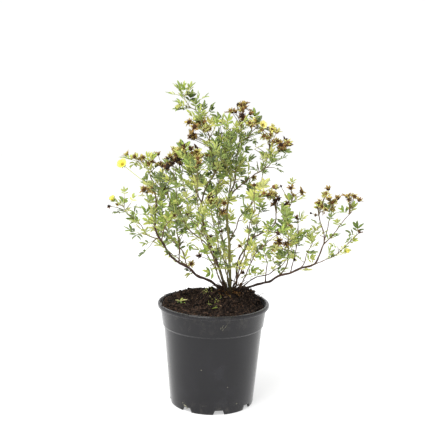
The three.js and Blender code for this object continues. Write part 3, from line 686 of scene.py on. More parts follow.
dust = add_node(pot_skin, "TexNoise", "Fac",
                {"Vector": place, "Scale": 1 / 0.012, "Detail": 8.0, "Roughness": 0.75})
height = add_node(pot_skin, "SeparateXYZ", "Z", {"Vector": place})
near_foot = add_node(pot_skin, "MapRange", 0,
                     {"Value": height, "From Min": 0.022, "From Max": 0.0, "To Min": 0.0, "To Max": 0.3})
near_rim = add_node(pot_skin, "MapRange", 0,
                    {"Value": height, "From Min": 0.118, "From Max": 0.156, "To Min": 0.0, "To Max": 0.2})
edges = add_node(pot_skin, "Math", 0, {0: near_foot, 1: near_rim}, operation="ADD")
spots = add_node(pot_skin, "MapRange", 0, {"Value": dust, "From Min": 0.5, "From Max": 0.75})
film = add_node(pot_skin, "Math", 0, {0: edges, 1: spots}, operation="MULTIPLY")
dusty = add_node(pot_skin, "Mix", "Result", {"Factor": film, "A": worn, "B": linear("#8a8478")},
                 data_type="RGBA")
gloss = add_node(pot_skin, "MapRange", 0, {"Value": clouds, "To Min": 0.14, "To Max": 0.3})
texture = add_node(pot_skin, "TexNoise", "Fac", {"Vector": place, "Scale": 1 / 0.0006, "Detail": 3.0})
bump = add_node(pot_skin, "Bump", "Normal", {"Height": texture, "Strength": 0.12, "Distance": 0.0004})
wire(pot_skin, Base_Color=dusty, Roughness=gloss, Normal=bump)
pot = make_piece("nursery_pot", pot_shape, pot_skin, ["pot"], sharp_over=40)
print("pot has", len(pot.data.polygons), "faces before it is notched")

# %% [markdown]
# The foot ring has eight notches that let water out of the channel under the base. They cross a
# curved wall, so they are cut by a boolean with wedges whose sides slope, as a mould's have to.

# %% Cut the drainage notches
NOTCH_SLOPE = 3
WEDGE_FACES = [(0, 3, 2, 1), (4, 5, 6, 7), (0, 1, 5, 4), (1, 2, 6, 5), (2, 3, 7, 6), (3, 0, 4, 7)]


def wedge_points(angle):
    """A wedge with sloping sides that opens the foot ring to the channel under the base."""
    half, narrow = NOTCH_WIDTH / 2, NOTCH_WIDTH / 2 - NOTCH_SLOPE
    sides = [(-half, -1), (half, -1), (narrow, CHANNEL_HEIGHT), (-narrow, CHANNEL_HEIGHT)]
    return [(r * cos(angle) - y * sin(angle), r * sin(angle) + y * cos(angle), z)
            for r in (FOOT_RADIUS - 3, FOOT_RADIUS + 5) for y, z in sides]


cutters = Shape()
for k in range(NOTCHES):
    cutters.add(wedge_points(radians(FIRST_NOTCH + 360 / NOTCHES * k)), WEDGE_FACES)
cutter = add_object("notches", new_mesh("notches", cutters))
cut = pot.modifiers.new("notches", "BOOLEAN")
cut.operation, cut.solver, cut.object = "DIFFERENCE", "EXACT", cutter
bpy.context.view_layer.update()
cut_mesh = bpy.data.meshes.new_from_object(pot.evaluated_get(bpy.context.evaluated_depsgraph_get()))
pot.modifiers.clear()
pot.data = cut_mesh
bpy.data.objects.remove(cutter)
print("pot has", len(pot.data.polygons), "faces")

# %% [markdown]
# Real marks catch the eye on a plain dark wall. Where the pot was knocked, the plastic went pale in
# short strokes, and a few dry splashes and flecks stick to it. The pale flakes low at the front left,
# over the notch at -125 degrees, are a painted highlight of that notch. Each is a thin flake that
# follows the wall, given by its bearing, its height, its length, its width and the way that it leans.

# %% Marks on the wall
MARKS = [
    (-80, 140, 7, 0.5, 72), (-79.4, 136, 5, 0.4, 66), (-76.5, 141, 9, 0.45, 60), (-82, 138, 4, 0.4, 80),
    # The rows at -127, -124 and -131 degrees, low on the wall, are a painted highlight of the notch
    # there.
    (-103, 71, 1.6, 1.5, 40), (-127, 9, 7, 3.2, -14), (-124, 6, 4, 1.6, 25), (-131, 13, 3, 1.2, 60),
    (-20, 58, 5, 0.8, 60), (35, 96, 4, 0.7, 20), (62, 130, 6, 0.8, 110), (88, 40, 3, 1.0, 45),
    (120, 88, 6, 0.7, 75), (151, 128, 5, 0.8, 100), (178, 22, 4, 1.3, 10), (205, 64, 5, 0.7, 70),
    (-55, 15, 3, 1.2, 30), (-70, 44, 1.5, 1.2, 0),
]
MARK_STATIONS = [(0.0, 0.2), (0.3, 0.5), (0.65, 0.42), (1.0, 0.1)]
MARK_CREST, MARK_EDGE, MARK_FOOT = 0.16, -0.05, -0.3
MEAN_RADIUS = 72
whitened_and_highlight_skin = new_material("whitened_plastic_and_painted_highlight", Roughness=0.8, Base_Color=linear("#85826f"))
marks = Shape()


def on_wall(bearing, height, out):
    """A point just outside the pot's wall at a bearing in degrees and a height."""
    radius = wall_radius(height)
    if height >= BODY_TOP:
        slope = (COLLAR_TOP_RADIUS - COLLAR_BASE_RADIUS) / (POT_HEIGHT - LIP_HEIGHT - COLLAR_STEP_TOP)
        radius = COLLAR_BASE_RADIUS + 0.2 + slope * (height - COLLAR_STEP_TOP)
    return heading_to(radians(bearing), height, radius + out)


def mark_ring(mark, share, half):
    """The four points of a flake at a share of its length: two edges, its crest and its foot."""
    bearing, height, length, width, lean = mark
    along, lean, ring = (share - 0.5) * length, radians(lean), []
    for side, out in [(-half, MARK_EDGE), (0.0, MARK_CREST), (half, MARK_EDGE), (0.0, MARK_FOOT)]:
        run = along * cos(lean) - side * width * sin(lean)
        rise = along * sin(lean) + side * width * cos(lean)
        ring.append(on_wall(bearing + np.degrees(run / MEAN_RADIUS), height + rise, out))
    return ring


for mark in MARKS:
    add_skin(marks, np.array([mark_ring(mark, share, half) for share, half in MARK_STATIONS]))
make_piece("wall_marks_and_painted_highlight", marks, whitened_and_highlight_skin)
print(len(MARKS), "marks on the wall")

# %% [markdown]
# ## The peat
#
# Potting peat is crumbly and full of fibres. The surface is a fine polar grid raised by the same
# mound, heap and dip as the CAD's soil, then roughened by cell noise: lumps of 13 mm, clods of about
# 5 mm and crumbs of about 2 mm. Loose crumbs, fibres and chips of bark then lie on it as solid bits,
# because a bump alone looks like plaster from the side.

# %% Soil surface
SOIL_LEVEL = 147.0
SOIL_EDGE_LEVEL = 139.0
SOIL_RADIUS = 78.0
CROWN_PLACE = (24.0, 10.0)
SOIL_BUMPS = [(CROWN_PLACE, 17.0, 26.0), ((51.0, 40.0), 16.0, 20.0), ((-6.0, 30.0), 15.0, 17.0),
              ((55.0, -50.0), -7.0, 22.0), ((-25.0, 70.0), 4.0, 50.0)]
SURFACE_SLOPE = 0.07
BANK_HEIGHT = 6.0
BANK_BEARING = radians(155)
BANK_INNER_RADIUS = 48.0
BANK_OUTER_RADIUS = 76.0
CLING_HEIGHT = 6.0
CLING_REACH = 17.0
SWELL_HEIGHT, SWELL_SIZE = 1.5, 14
# Size of the lumps, clods and crumbs, their layer of the noise, their height and their level
GRAINS = [(13.0, 11, 3.2, 0.4), (5.0, 0, 3.0, 0.45), (2.1, 7, 1.5, 0.45)]
NEAR_WALL, WALL_BAND, WALL_DIP = 72, 6, 1.2


def smooth_level(x, y):
    """The CAD's soil level at a place."""
    level = SOIL_LEVEL + 1.2 * sin(0.21 * x) * cos(0.17 * y) + SURFACE_SLOPE * y
    for (bx, by), rise, reach in SOIL_BUMPS:
        level += rise * exp(-(hypot(x - bx, y - by) / reach) ** 2)
    radius = max(hypot(x, y), 1.0)
    facing = max((x * cos(BANK_BEARING) + y * sin(BANK_BEARING)) / radius, 0.0)
    share = clamped((radius - BANK_INNER_RADIUS) / (BANK_OUTER_RADIUS - BANK_INNER_RADIUS))
    return level + BANK_HEIGHT * facing ** 2 * share ** 2 * (3 - 2 * share)


def soil_level(x, y):
    """That level with lumps, clods and crumbs, and with the peat that clings to the crown."""
    rough = SWELL_HEIGHT * noise.noise(Vector((x, y, 3)) / SWELL_SIZE)
    for size, layer, height, level in GRAINS:
        rough += height * (level - noise.voronoi(Vector((x, y, layer)) / size)[0][0])
    near_wall = clamped((hypot(x, y) - NEAR_WALL) / WALL_BAND)
    from_crown = hypot(x - CROWN_PLACE[0], y - CROWN_PLACE[1])
    cling = CLING_HEIGHT * exp(-(from_crown / CLING_REACH) ** 2)
    return smooth_level(x, y) + cling + rough * (1 - 0.6 * near_wall) - WALL_DIP * near_wall ** 2


def on_peat(x, y, above=0.0):
    """A point at a height above the peat."""
    return np.array([x, y, soil_level(x, y) + above])


print("the peat at the crown stands at", round(soil_level(*CROWN_PLACE), 1), "mm")

# %% [markdown]
# The plug keeps a hair's breadth clear of the pot, so that the two never share a face.

# %% The plug of peat
SOIL_RINGS = 84
SOIL_SEGMENTS = 230
CLEARANCE = 0.3
PLUG_SIDES = [(0, POT_FLOOR + CLEARANCE), (PAD_RADIUS - 2 - CLEARANCE, POT_FLOOR + CLEARANCE),
              (PAD_RADIUS - CLEARANCE, CHANNEL_HEIGHT + POT_FLOOR + CLEARANCE),
              (BASE_RADIUS - WALL - 1, CHANNEL_HEIGHT + POT_FLOOR + CLEARANCE),
              (BODY_TOP_RADIUS - WALL - 0.8, BODY_TOP), (SOIL_RADIUS - 0.6, SOIL_EDGE_LEVEL)]
plug_top = [(SOIL_RADIUS * (1 - k / SOIL_RINGS), SOIL_LEVEL) for k in range(SOIL_RINGS)]
soil_outline = [*PLUG_SIDES, *plug_top, (0, soil_level(0, 0))]


def raise_soil(rings):
    """Lifts the top of the soil to its level and leaves the plug's sides as they are."""
    for ring in rings:
        for point in ring[len(PLUG_SIDES) - 1:]:
            point[2] = soil_level(point[0], point[1])
    return rings


soil_shape = turned_solid(soil_outline, SOIL_SEGMENTS, raise_soil)
print("soil has", len(soil_shape.faces), "faces")

# %% [markdown]
# Damp peat is nearly black in its pores and dark red-brown on its dry tops, with a scatter of paler
# fibres. It has no gloss to speak of. The noise follows real sizes: 9 mm patches of damp, 2 mm bits.

# %% Damp peat
peat = new_material("damp_peat", Roughness=0.95, Specular_IOR_Level=0.25)
place = add_node(peat, "TexCoord", "Object")
patches = add_node(peat, "TexNoise", "Fac", {"Vector": place, "Scale": 1 / 0.009, "Detail": 4.0})
patch_tone = add_node(peat, "ValToRGB", "Color", {"Fac": patches},
                      stops=[(0.38, "#0a0706"), (0.56, "#1a120e"), (0.76, "#33271f")])
bits = add_node(peat, "TexVoronoi", "Color", {"Vector": place, "Scale": 1 / 0.002, "Randomness": 1.0})
bit_tone = add_node(peat, "SeparateColor", "Red", {"Color": bits})
bit_share = add_node(peat, "ValToRGB", "Color", {"Fac": bit_tone},
                     stops=[(0.0, "#000000"), (0.6, "#404040"), (0.9, "#d8d8d8")])
bit_colour = add_node(peat, "Mix", "Result",
                      {"Factor": bit_share, "A": patch_tone, "B": linear("#5c483a")}, data_type="RGBA")
grit = add_node(peat, "TexNoise", "Fac",
                {"Vector": place, "Scale": 1 / 0.0011, "Detail": 5.0, "Roughness": 0.7})
bump = add_node(peat, "Bump", "Normal", {"Height": grit, "Strength": 0.7, "Distance": 0.0012})
wire(peat, Base_Color=bit_colour, Normal=bump)
make_piece("peat_plug", soil_shape, peat, ["soil"])
print("the plug holds", round(pi * SOIL_RADIUS ** 2 * SOIL_LEVEL / 1e6, 1), "litres at the most")

# %% [markdown]
# ## Bark
#
# Old stems have thin dark brown bark that peels in long paper strips, and the year's twigs are
# smooth and red-brown or olive. Watering splashes peat on the lowest few centimetres. Each point of
# the wood carries how young it is, from 0 to 1, and its place round and along the stem, so that the
# noise can be drawn out along the grain: strips of 0.9 mm across and 9 mm along.

# %% Shredding bark
bark = new_material("shredding_bark", Roughness=0.8, Specular_IOR_Level=0.35)
grain = add_node(bark, "Attribute", "Vector", attribute_name="grain")
drawn_out = add_node(bark, "Mapping", "Vector", {"Vector": grain, "Scale": (1 / 0.9, 1 / 0.9, 1 / 9.0)})
strips = add_node(bark, "TexNoise", "Fac",
                  {"Vector": drawn_out, "Scale": 1.0, "Detail": 4.0, "Roughness": 0.6})
old = add_node(bark, "ValToRGB", "Color", {"Fac": strips},
               stops=[(0.3, "#1c110e"), (0.5, "#3a2620"), (0.68, "#5b4136"), (0.85, "#8c705e")])
young_red = add_node(bark, "ValToRGB", "Color", {"Fac": strips},
                     stops=[(0.3, "#3f281e"), (0.6, "#694a3b"), (0.85, "#977a66")])
young_olive = add_node(bark, "ValToRGB", "Color", {"Fac": strips},
                       stops=[(0.3, "#5c5a30"), (0.6, "#8d8c52"), (0.85, "#b5b27c")])
youth = add_node(bark, "Attribute", "Fac", attribute_name="youth")
olive = add_node(bark, "Attribute", "Fac", attribute_name="olive")
young = add_node(bark, "Mix", "Result", {"Factor": olive, "A": young_red, "B": young_olive},
                 data_type="RGBA")
skin = add_node(bark, "Mix", "Result", {"Factor": youth, "A": old, "B": young}, data_type="RGBA")
place = add_node(bark, "TexCoord", "Object")
height = add_node(bark, "SeparateXYZ", "Z", {"Vector": place})
splash = add_node(bark, "MapRange", 0,
                  {"Value": height, "From Min": 0.200, "From Max": 0.174, "To Min": 0.0, "To Max": 0.8})
splashed = add_node(bark, "Mix", "Result", {"Factor": splash, "A": skin, "B": linear("#1d1510")},
                    data_type="RGBA")
bump = add_node(bark, "Bump", "Normal", {"Height": strips, "Strength": 0.6, "Distance": 0.0006})
wire(bark, Base_Color=splashed, Normal=bump)

# %% [markdown]
# ## Stems
#
# Each stem is a tube along the CAD's curve, with a little wander, a swelling at each leaf place and
# a flare where it leaves what it grows from. Twigs have six sides and the old stems ten: that is
# enough for their width, and leaves faces for the foliage. The stems that only fill the plant's
# depth are made slimmer than the CAD's, because the photograph shows a light, open bush.

# %% Wood of each stem
OLIVE_STEMS = {"upright_stem": 0.95, "upright_left_fork": 0.9, "upright_right_fork": 0.5,
               "tall_left_stem": 0.5, "top_left_tip": 0.8, "centre_side_branch": 0.6, "front_stem": 0.7,
               "left_outer_shoot": 0.6, "right_mid_shoot": 0.5, "back_stem": 0.6, "front_left_stem": 0.6}
OLD_DIAMETER = 3.6
YOUNG_DIAMETER = 1.5
STEM_STEP = 3.0
DEPTH_SLIM, CROWN_SLIM, SHOOT_SLIM = 0.72, 1.04, 0.92
CROWN_FLARE, SHOOT_FLARE, FLARE_REACH = 0.2, 0.25, 5
SWELLING = 0.1
STEM_SIDES = [(3.5, 10), (2.2, 8), (0, 6)]
wood = {name: Shape("youth", "olive", "grain") for name in STEMS}
leaves = {name: Shape("tint", "under", "vein") for name in STEMS}
dried = {name: Shape("tint", "along") for name in STEMS}
faded = {name: Shape("along", "tint") for name in STEMS}
paths = {}


def youth_of(diameter):
    """How young wood of a diameter is, from 0 to 1."""
    return clamped((OLD_DIAMETER - diameter) / (OLD_DIAMETER - YOUNG_DIAMETER))


def grow_stem(number, name):
    """The tube of one stem."""
    on_crown = STEMS[name]["on"] == "crown"
    thick, thin = STEMS[name]["across"]
    path = np.array([wandered(p) for p in course(STEMS[name]["through"], STEM_STEP)])
    shares = np.linspace(0, 1, len(path))
    slim = DEPTH_SLIM if name.startswith(("back", "front")) else CROWN_SLIM if on_crown else SHOOT_SLIM
    widths = slim * (thick + (thin - thick) * shares)
    runs = np.concatenate([[0], np.cumsum(np.linalg.norm(np.diff(path, axis=0), axis=1))])
    radii = widths / 2 * (1 + SWELLING * np.sin(shares * len(path) * 1.1 + number))
    radii = radii * (1 + (CROWN_FLARE if on_crown else SHOOT_FLARE) * np.exp(-runs / FLARE_REACH))
    sides = next(sides for over, sides in STEM_SIDES if thick > over)
    olive = OLIVE_STEMS.get(name, 0.15)
    youth = np.repeat([max(youth_of(w), olive - 0.1) for w in widths], sides)
    add_tube(wood[name], path, radii, sides, youth=youth, olive=olive)
    return path


def add_twig(name, path, thick, thin, olive):
    """A thin young twig in a stem's wood, as olive as that stem, or as given where it has no say."""
    add_tube(wood[name], path, np.linspace(thick, thin, len(path)), 5, youth=1.0,
             olive=OLIVE_STEMS.get(name, olive))


for number, name in enumerate(STEMS):
    paths[name] = grow_stem(number, name)
stem_run = sum(np.linalg.norm(np.diff(p, axis=0), axis=1).sum() for p in paths.values())
print("stems measure", round(stem_run), "mm")

# %% [markdown]
# The bark of the oldest stems comes off in thin curls. Each is a flat little tube that leaves the
# stem at its lower end and stands away from it at the other.

# %% Strips of bark that peel off the old stems
STRIPS_A_STEM = {"upright_stem": 14, "centre_left_stem": 9, "low_left_stem": 6, "front_stem": 5,
                 "back_stem": 5, "low_right_stem": 6, "right_stem": 4}
draw = chance("bark strips")
for name, strips_here in STRIPS_A_STEM.items():
    for _ in range(strips_here):
        at = draw.randrange(3, 16)
        low, high = paths[name][at], paths[name][at + draw.choice([3, 4, 5, 7])]
        off = draw.uniform(1.4, 3.6) * unit((draw.gauss(0, 1), draw.gauss(0, 1), 0.2))
        strip = course([low, (low + high) / 2 + 0.7 * off, high + off], SHOOT_STEP)
        add_tube(wood[name], strip, np.linspace(0.75, 0.3, len(strip)), 4,
                 youth=draw.choice([0.1, 0.5, 0.9]), olive=OLIVE_STEMS.get(name, 0.2))
print(sum(STRIPS_A_STEM.values()), "strips of bark")

# %% [markdown]
# ## Leaves
#
# A leaf is a thin stalk with five narrow leaflets: one at the end, a pair beside it and a smaller
# pair a little lower. The leaflets fold up along the midrib like a half-open book. A leaflet's row
# below says how far up the leaf it starts, its angle and its length, both as shares of the leaf.

# %% One leaf
LEAFLETS = [(0.47, 0, 0.54), (0.45, 40, 0.5), (0.45, -40, 0.5), (0.29, 66, 0.42), (0.29, -66, 0.42)]
LEAF_STALK = np.array([(0, 0, 0), (0.24, 0, 0.03), (0.47, 0, 0.02)])
LEAF_ROLL = 0.5
LEAFLET_SLIM = 0.35
# Limits for each leaflet: its angles in degrees, its shares of length and width, its curl and tint
SWINGS, LIFTS = (-11, 11), (4, 30)
REACHES, WIDTHS = (0.88, 1.1), (0.85, 1.3)
FOLDS, BENDS, TWISTS = (0.2, 0.75), (-0.05, 0.3), (-0.7, 0.7)
TINTS = (-0.17, 0.17)
PALEST = 0.8


def add_leaf(shape, base, direction, length, draw, tint):
    """A leaf of five leaflets on its stalk, from base, of a length in millimetres."""
    rows = turned_to(direction, draw.gauss(0, LEAF_ROLL))
    add_tube(shape, LEAF_STALK * length @ rows + base, [0.45, 0.36, 0.3], 4, tint=min(tint + 0.2, 1))
    for along, swing, share in LEAFLETS:
        swing = radians(swing + draw.uniform(*SWINGS))
        outward = swung(rows, swing, radians(draw.uniform(*LIFTS)))
        side = unit(np.cross(rows[2], outward))
        leaflet_rows = np.array([outward, side, np.cross(outward, side)])
        reach = share * length * draw.uniform(*REACHES)
        add_blade(shape, base + np.array([along, 0, 0.02]) * length @ rows, leaflet_rows, reach,
                  reach * LEAFLET_SLIM * draw.uniform(*WIDTHS), fold=draw.uniform(*FOLDS),
                  bend=draw.uniform(*BENDS), twist=draw.uniform(*TWISTS),
                  tint=clamped(tint + draw.uniform(*TINTS), 0, PALEST))


def add_tuft(shape, base, direction, count, length, draw, tint, spread):
    """Leaves that fan out of one bud: the first straight ahead and the others round it."""
    start = draw.uniform(0, 2 * pi)
    for k in range(count):
        lean = 0.15 if k == 0 else radians(spread) * draw.uniform(0.7, 1.2)
        way = swung(turned_to(direction, start + 2.4 * k), lean)
        add_leaf(shape, base, way, length * (1 if k == 0 else draw.uniform(0.65, 1.0)), draw,
                 tint + draw.uniform(-0.12, 0.15))


# %% [markdown]
# Each CAD leaf place gets a full leaf where the CAD has it, turned round the stem by the golden
# angle from the one below, and one or two younger ones beside it, because this shrub carries its
# leaves in tufts. How pale a leaf is mixes its own random tint with broad patches of painted light
# and painted shade, laid out as the light through a bush falls. The shift of the patches was chosen
# out of many random ones as fitting the photograph best.

# %% Leaves at the CAD's places
LEAF_LENGTH = 25.0
GOLDEN_ANGLE = radians(137.5)
# The broad patches are painted light and painted shade, and the wide spread of each leaf's tint also
# paints some leaves into shade.
PAINTED_LIGHT_SHIFT = Vector((625, 562, 19))
PAINTED_LIGHT_PATCH = 38
MEAN_TINT, PAINTED_LIGHT_STRENGTH, LEAF_TINT_AND_SHADE = 0.46, 0.3, 0.24


def leaf_place(number, name, k):
    """The CAD's own rule for a leaf: turned round the stem by the golden angle and leaning up."""
    stem = STEMS[name]
    seed = number * 31 + k
    share = min(1, stem["from"] + (1 - stem["from"]) * (k + 0.7) / stem["leaves"])
    base, tangent = along_stem(name, share)
    span = unit(np.subtract(stem["through"][-1], stem["through"][0]))
    side = unit(np.cross(tangent, (1, 0, 0) if abs(span[1]) > 0.7 else (0, 1, 0)))
    upper = np.cross(side, tangent)
    turn = k * GOLDEN_ANGLE + number
    lean = radians(48 + 24 * wobble(seed))
    direction = tangent * cos(lean) + side * cos(turn) * sin(lean) + upper * sin(turn) * sin(lean)
    return base, unit(direction + np.array([0, 0, 0.2])), LEAF_LENGTH * (0.8 + 0.3 * wobble(seed + 0.5))


def tint_and_painted_light_at(point, draw):
    """How pale a leaf is: broad patches of painted light and painted shade, and a spread that is partly
    the leaf's own tint and partly painted shade.
    """
    patch = noise.noise((Vector(point) + PAINTED_LIGHT_SHIFT) / PAINTED_LIGHT_PATCH)
    return MEAN_TINT + PAINTED_LIGHT_STRENGTH * patch + draw.gauss(0, LEAF_TINT_AND_SHADE)


leaf_count = 0
for number, name in enumerate(STEMS):
    draw = chance("CAD leaves", number)
    for k in range(STEMS[name]["leaves"]):
        base, direction, length = leaf_place(number, name, k)
        add_leaf(leaves[name], base, direction, length, draw, tint_and_painted_light_at(base, draw))
        extra = draw.choice([0, 1, 1])
        for j in range(extra):
            swing = radians(draw.uniform(45, 110)) * (-1) ** j
            way = swung(turned_to(direction), swing, draw.uniform(-0.3, 0.6))
            add_leaf(leaves[name], base, way, length * draw.uniform(0.7, 0.95), draw, tint_and_painted_light_at(base, draw))
        leaf_count += 1 + extra
print(leaf_count, "leaves at the CAD's places")

# %% [markdown]
# ## Tufts read off the photograph
#
# Some tufts stand clear of the rest and give the plant its outline, so they are placed one by one.
# A reading says where the camera sees the tuft, the way it points in the picture, how many leaves
# it has, how long they are and how yellow. The nearest stem below it, as the camera sees it, gives
# the depth, and a thin twig joins the two, so each tuft is carried from whatever side it is seen.

# %% Readings of tufts
TUFTS = [
    (-52, 469, 115, 6, 17, 0.5), (-58, 467, 185, 1, 15, 0.45), (-44, 469, 55, 4, 17, 0.5),
    (-31, 457, 95, 2, 15, 0.5), (-27, 460, 35, 2, 14, 0.5), (-48, 452, 170, 1, 15, 0.3),
    (-49, 449, 208, 1, 14, 0.3), (-21, 441, 88, 1, 15, 0.15), (-14, 443, 48, 1, 14, 0.3),
    (-11, 438, 60, 1, 13, 0.3), (-20, 434, 95, 3, 14, 0.95), (-16, 411, 110, 2, 14, 0.9),
    (-6, 411, 60, 2, 14, 0.8), (2, 421, 118, 2, 17, 0.5), (7, 423, 70, 1, 16, 0.6),
    (15, 420, 85, 2, 18, 0.6), (26, 414, 95, 2, 15, 0.6), (32, 415, 30, 1, 14, 0.5),
    (55, 428, 88, 1, 18, 0.5), (26, 384, 105, 2, 24, 0.65), (31, 386, 60, 2, 22, 0.7),
    (24, 392, 155, 1, 17, 0.6), (47, 408, 165, 1, 14, 0.1), (53, 409, 15, 1, 14, 0.1),
    (50, 407, -60, 1, 12, 0.1), (56, 390, 20, 2, 16, 0.6), (57, 394, 110, 1, 13, 0.55),
    (60, 372, -85, 1, 15, 0.2), (64, 376, 20, 1, 15, 0.4), (77, 386, 0, 1, 14, 0.2),
    (88, 388, 5, 1, 13, 0.2), (92, 374, 25, 1, 14, 0.3), (82, 372, 12, 1, 13, 0.3),
    (83, 368, -20, 1, 13, 0.3), (86, 363, -32, 1, 13, 0.3), (32, 360, 62, 3, 20, 0.35),
    (39, 366, 38, 2, 20, 0.2), (44, 370, 12, 1, 15, 0.2), (26, 336, 120, 2, 16, 0.6),
    (34, 342, 75, 2, 17, 0.5), (44, 338, 15, 2, 16, 0.3), (18, 308, 100, 2, 17, 0.75),
    (28, 315, 12, 1, 14, 0.3), (45, 272, 95, 2, 15, 0.95), (45, 284, 75, 2, 15, 0.9),
    (47, 294, 65, 1, 14, 0.9), (22, 286, 85, 2, 13, 0.8), (92, 266, 172, 1, 17, 0.7),
    (94, 266, 10, 2, 15, 0.6), (103, 258, 105, 2, 14, 0.5), (103, 270, 55, 2, 14, 0.5),
    (105, 282, 105, 2, 13, 0.5), (104, 292, 70, 1, 13, 0.5), (117, 254, 20, 1, 13, 0.3),
    (132, 256, 62, 2, 15, 0.6), (137, 262, 18, 1, 13, 0.4), (151, 260, 95, 3, 17, 0.6),
    (48, 220, 100, 2, 14, 0.7), (53, 223, 35, 2, 14, 0.6), (56, 239, 150, 1, 12, 0.1),
    (60, 240, 20, 1, 12, 0.1), (96, 222, 80, 2, 14, 0.6), (100, 241, 100, 2, 13, 0.5),
    (137, 223, 15, 2, 15, 0.6), (133, 222, 150, 1, 14, 0.5), (-115, 366, 118, 2, 14, 0.8),
    (-106, 367, 70, 2, 14, 0.7), (-100, 368, 35, 1, 13, 0.6),
    (-102, 352, 105, 2, 14, 0.4), (-96, 353, 45, 2, 14, 0.4), (-105, 297, 175, 1, 16, 0.4),
    (-100, 282, 115, 3, 17, 0.45), (-106, 262, 155, 2, 15, 0.7), (-95, 247, 195, 2, 15, 0.3),
    (-136, 315, 100, 1, 12, 0.7), (-127, 305, 70, 1, 13, 0.5), (-138, 291, 190, 1, 14, 0.2),
    (-58, 260, 105, 2, 15, 0.5), (-50, 268, 35, 2, 15, 0.6), (-46, 262, -15, 1, 16, 0.6),
    (-54, 280, 92, 2, 14, 0.5), (-44, 248, -50, 1, 14, 0.5), (188, 242, 12, 1, 13, 0.5),
    (186, 245, 160, 1, 13, 0.5), (168, 227, 8, 1, 14, 0.4), (56, 196, 2, 1, 17, 0.3),
    (112, 334, 92, 2, 14, 0.6), (158, 262, 35, 1, 12, 0.4), (176, 258, 25, 2, 12, 0.4),
]
TWIG_SLACK = 3.0
TUFT_LENGTH = 1.28
BELOW_COST, DEPTH_COST = 0.8, 0.04


def nearest_wood(x, z):
    """The stem and its point that lie nearest below a reading, as the camera sees them."""
    best = None
    for name, path in paths.items():
        for index in range(2, len(path)):
            px, pz = seen_from_camera(path[index])
            off = hypot(x - px, z - pz) + BELOW_COST * max(pz - z, 0) + DEPTH_COST * abs(path[index][1])
            if best is None or off < best[0]:
                best = (off, name, index)
    return best[1], best[2]


def twig_to(x, z, draw):
    """Grows a thin twig from the nearest wood to a reading, and returns its stem and its end."""
    name, index = nearest_wood(x, z)
    start = paths[name][index]
    end = seen(x, z, start[1] + draw.uniform(-6, 6))
    gap = np.linalg.norm(end - start)
    if gap > TWIG_SLACK:
        add_twig(name, bow(paths[name][max(index - int(gap / 6), 1)], end, 0.04), 0.65, 0.42, 0.35)
    return name, end


for number, (x, z, heading, count, length, tint) in enumerate(TUFTS):
    draw = chance("tufts", number)
    name, end = twig_to(x, z, draw)
    direction = np.array([cos(radians(heading)), draw.uniform(-0.45, 0.25), sin(radians(heading))])
    count = (count + 1) // 2
    add_tuft(leaves[name], end, direction, count, TUFT_LENGTH * length, draw, tint, spread=40)
    leaf_count += count
print(leaf_count, "leaves in all")

# %% [markdown]
# ## The mass of the foliage
#
# Between the tufts that can be told apart the photograph shows one mass of leaves, thickest left of
# the middle, with a few holes where the white shows through. A few broad round patches say how full
# it is. Short spurs with one or two leaves then grow at random from the stems, as often as the
# patch that the camera sees there says, and on every side of the stem.

# %% Spurs
FULL_PATCHES = [(-45, 352, 50, 48, 1.0), (0, 384, 34, 28, 0.8), (-80, 298, 26, 32, 0.9),
                (-12, 270, 34, 26, 0.4), (-24, 398, 20, 16, 0.9), (86, 262, 40, 24, 0.06),
                (45, 390, 14, 14, 0.4), (80, 372, 20, 20, 0.2), (25, 206, 10, 26, 0.6),
                (14, 336, 14, 24, 0.8), (-24, 220, 14, 12, 0.8), (20, 258, 12, 20, 0.4),
                (62, 232, 20, 14, 0.2), (-66, 240, 16, 12, 0.5)]
HOLES = [(30, 60, 305, 335), (0, 15, 350, 356), (-50, -20, 228, 255), (115, 135, 225, 250),
         (100, 130, 300, 320), (28, 50, 276, 300), (12, 34, 240, 262)]
SPURS_A_POINT = 0.36
LOWEST_SPUR = 190.0
SPUR_REACH, SPUR_LEAVES = (4, 20), (18, 28)


def fullness(x, z):
    """How full of leaves the plant looks at a place in the picture, from 0 to 1."""
    if any(x0 < x < x1 and z0 < z < z1 for x0, x1, z0, z1 in HOLES):
        return 0.0
    return min(1.0, sum(weight * exp(-((x - px) / wide) ** 2 - ((z - pz) / high) ** 2)
                        for px, pz, wide, high, weight in FULL_PATCHES))


spurs = 0
for number, name in enumerate(STEMS):
    draw = chance("spurs", number)
    path = paths[name]
    for k in range(1, len(path)):
        wanted = SPURS_A_POINT * fullness(*seen_from_camera(path[k]))
        if path[k][2] < LOWEST_SPUR or draw.random() > wanted:
            continue
        swing = draw.uniform(0.6, 1.3)
        way = swung(turned_to(path[k] - path[k - 1], draw.uniform(0, 2 * pi)), swing)
        end = path[k] + draw.uniform(*SPUR_REACH) * unit(way + np.array([0, 0, 0.35]))
        if not fullness(*seen_from_camera(end)):
            continue
        spur = bow(path[k], end, 0.08, SHOOT_STEP)
        add_twig(name, spur, 0.6, 0.4, 0.4)
        count = draw.choice([1, 1, 2, 2])
        add_tuft(leaves[name], end, spur[-1] - spur[-2], count, draw.uniform(*SPUR_LEAVES), draw,
                 tint_and_painted_light_at(end, draw), spread=50)
        spurs += 1
        leaf_count += count
print(spurs, "spurs make it", leaf_count, "leaves")
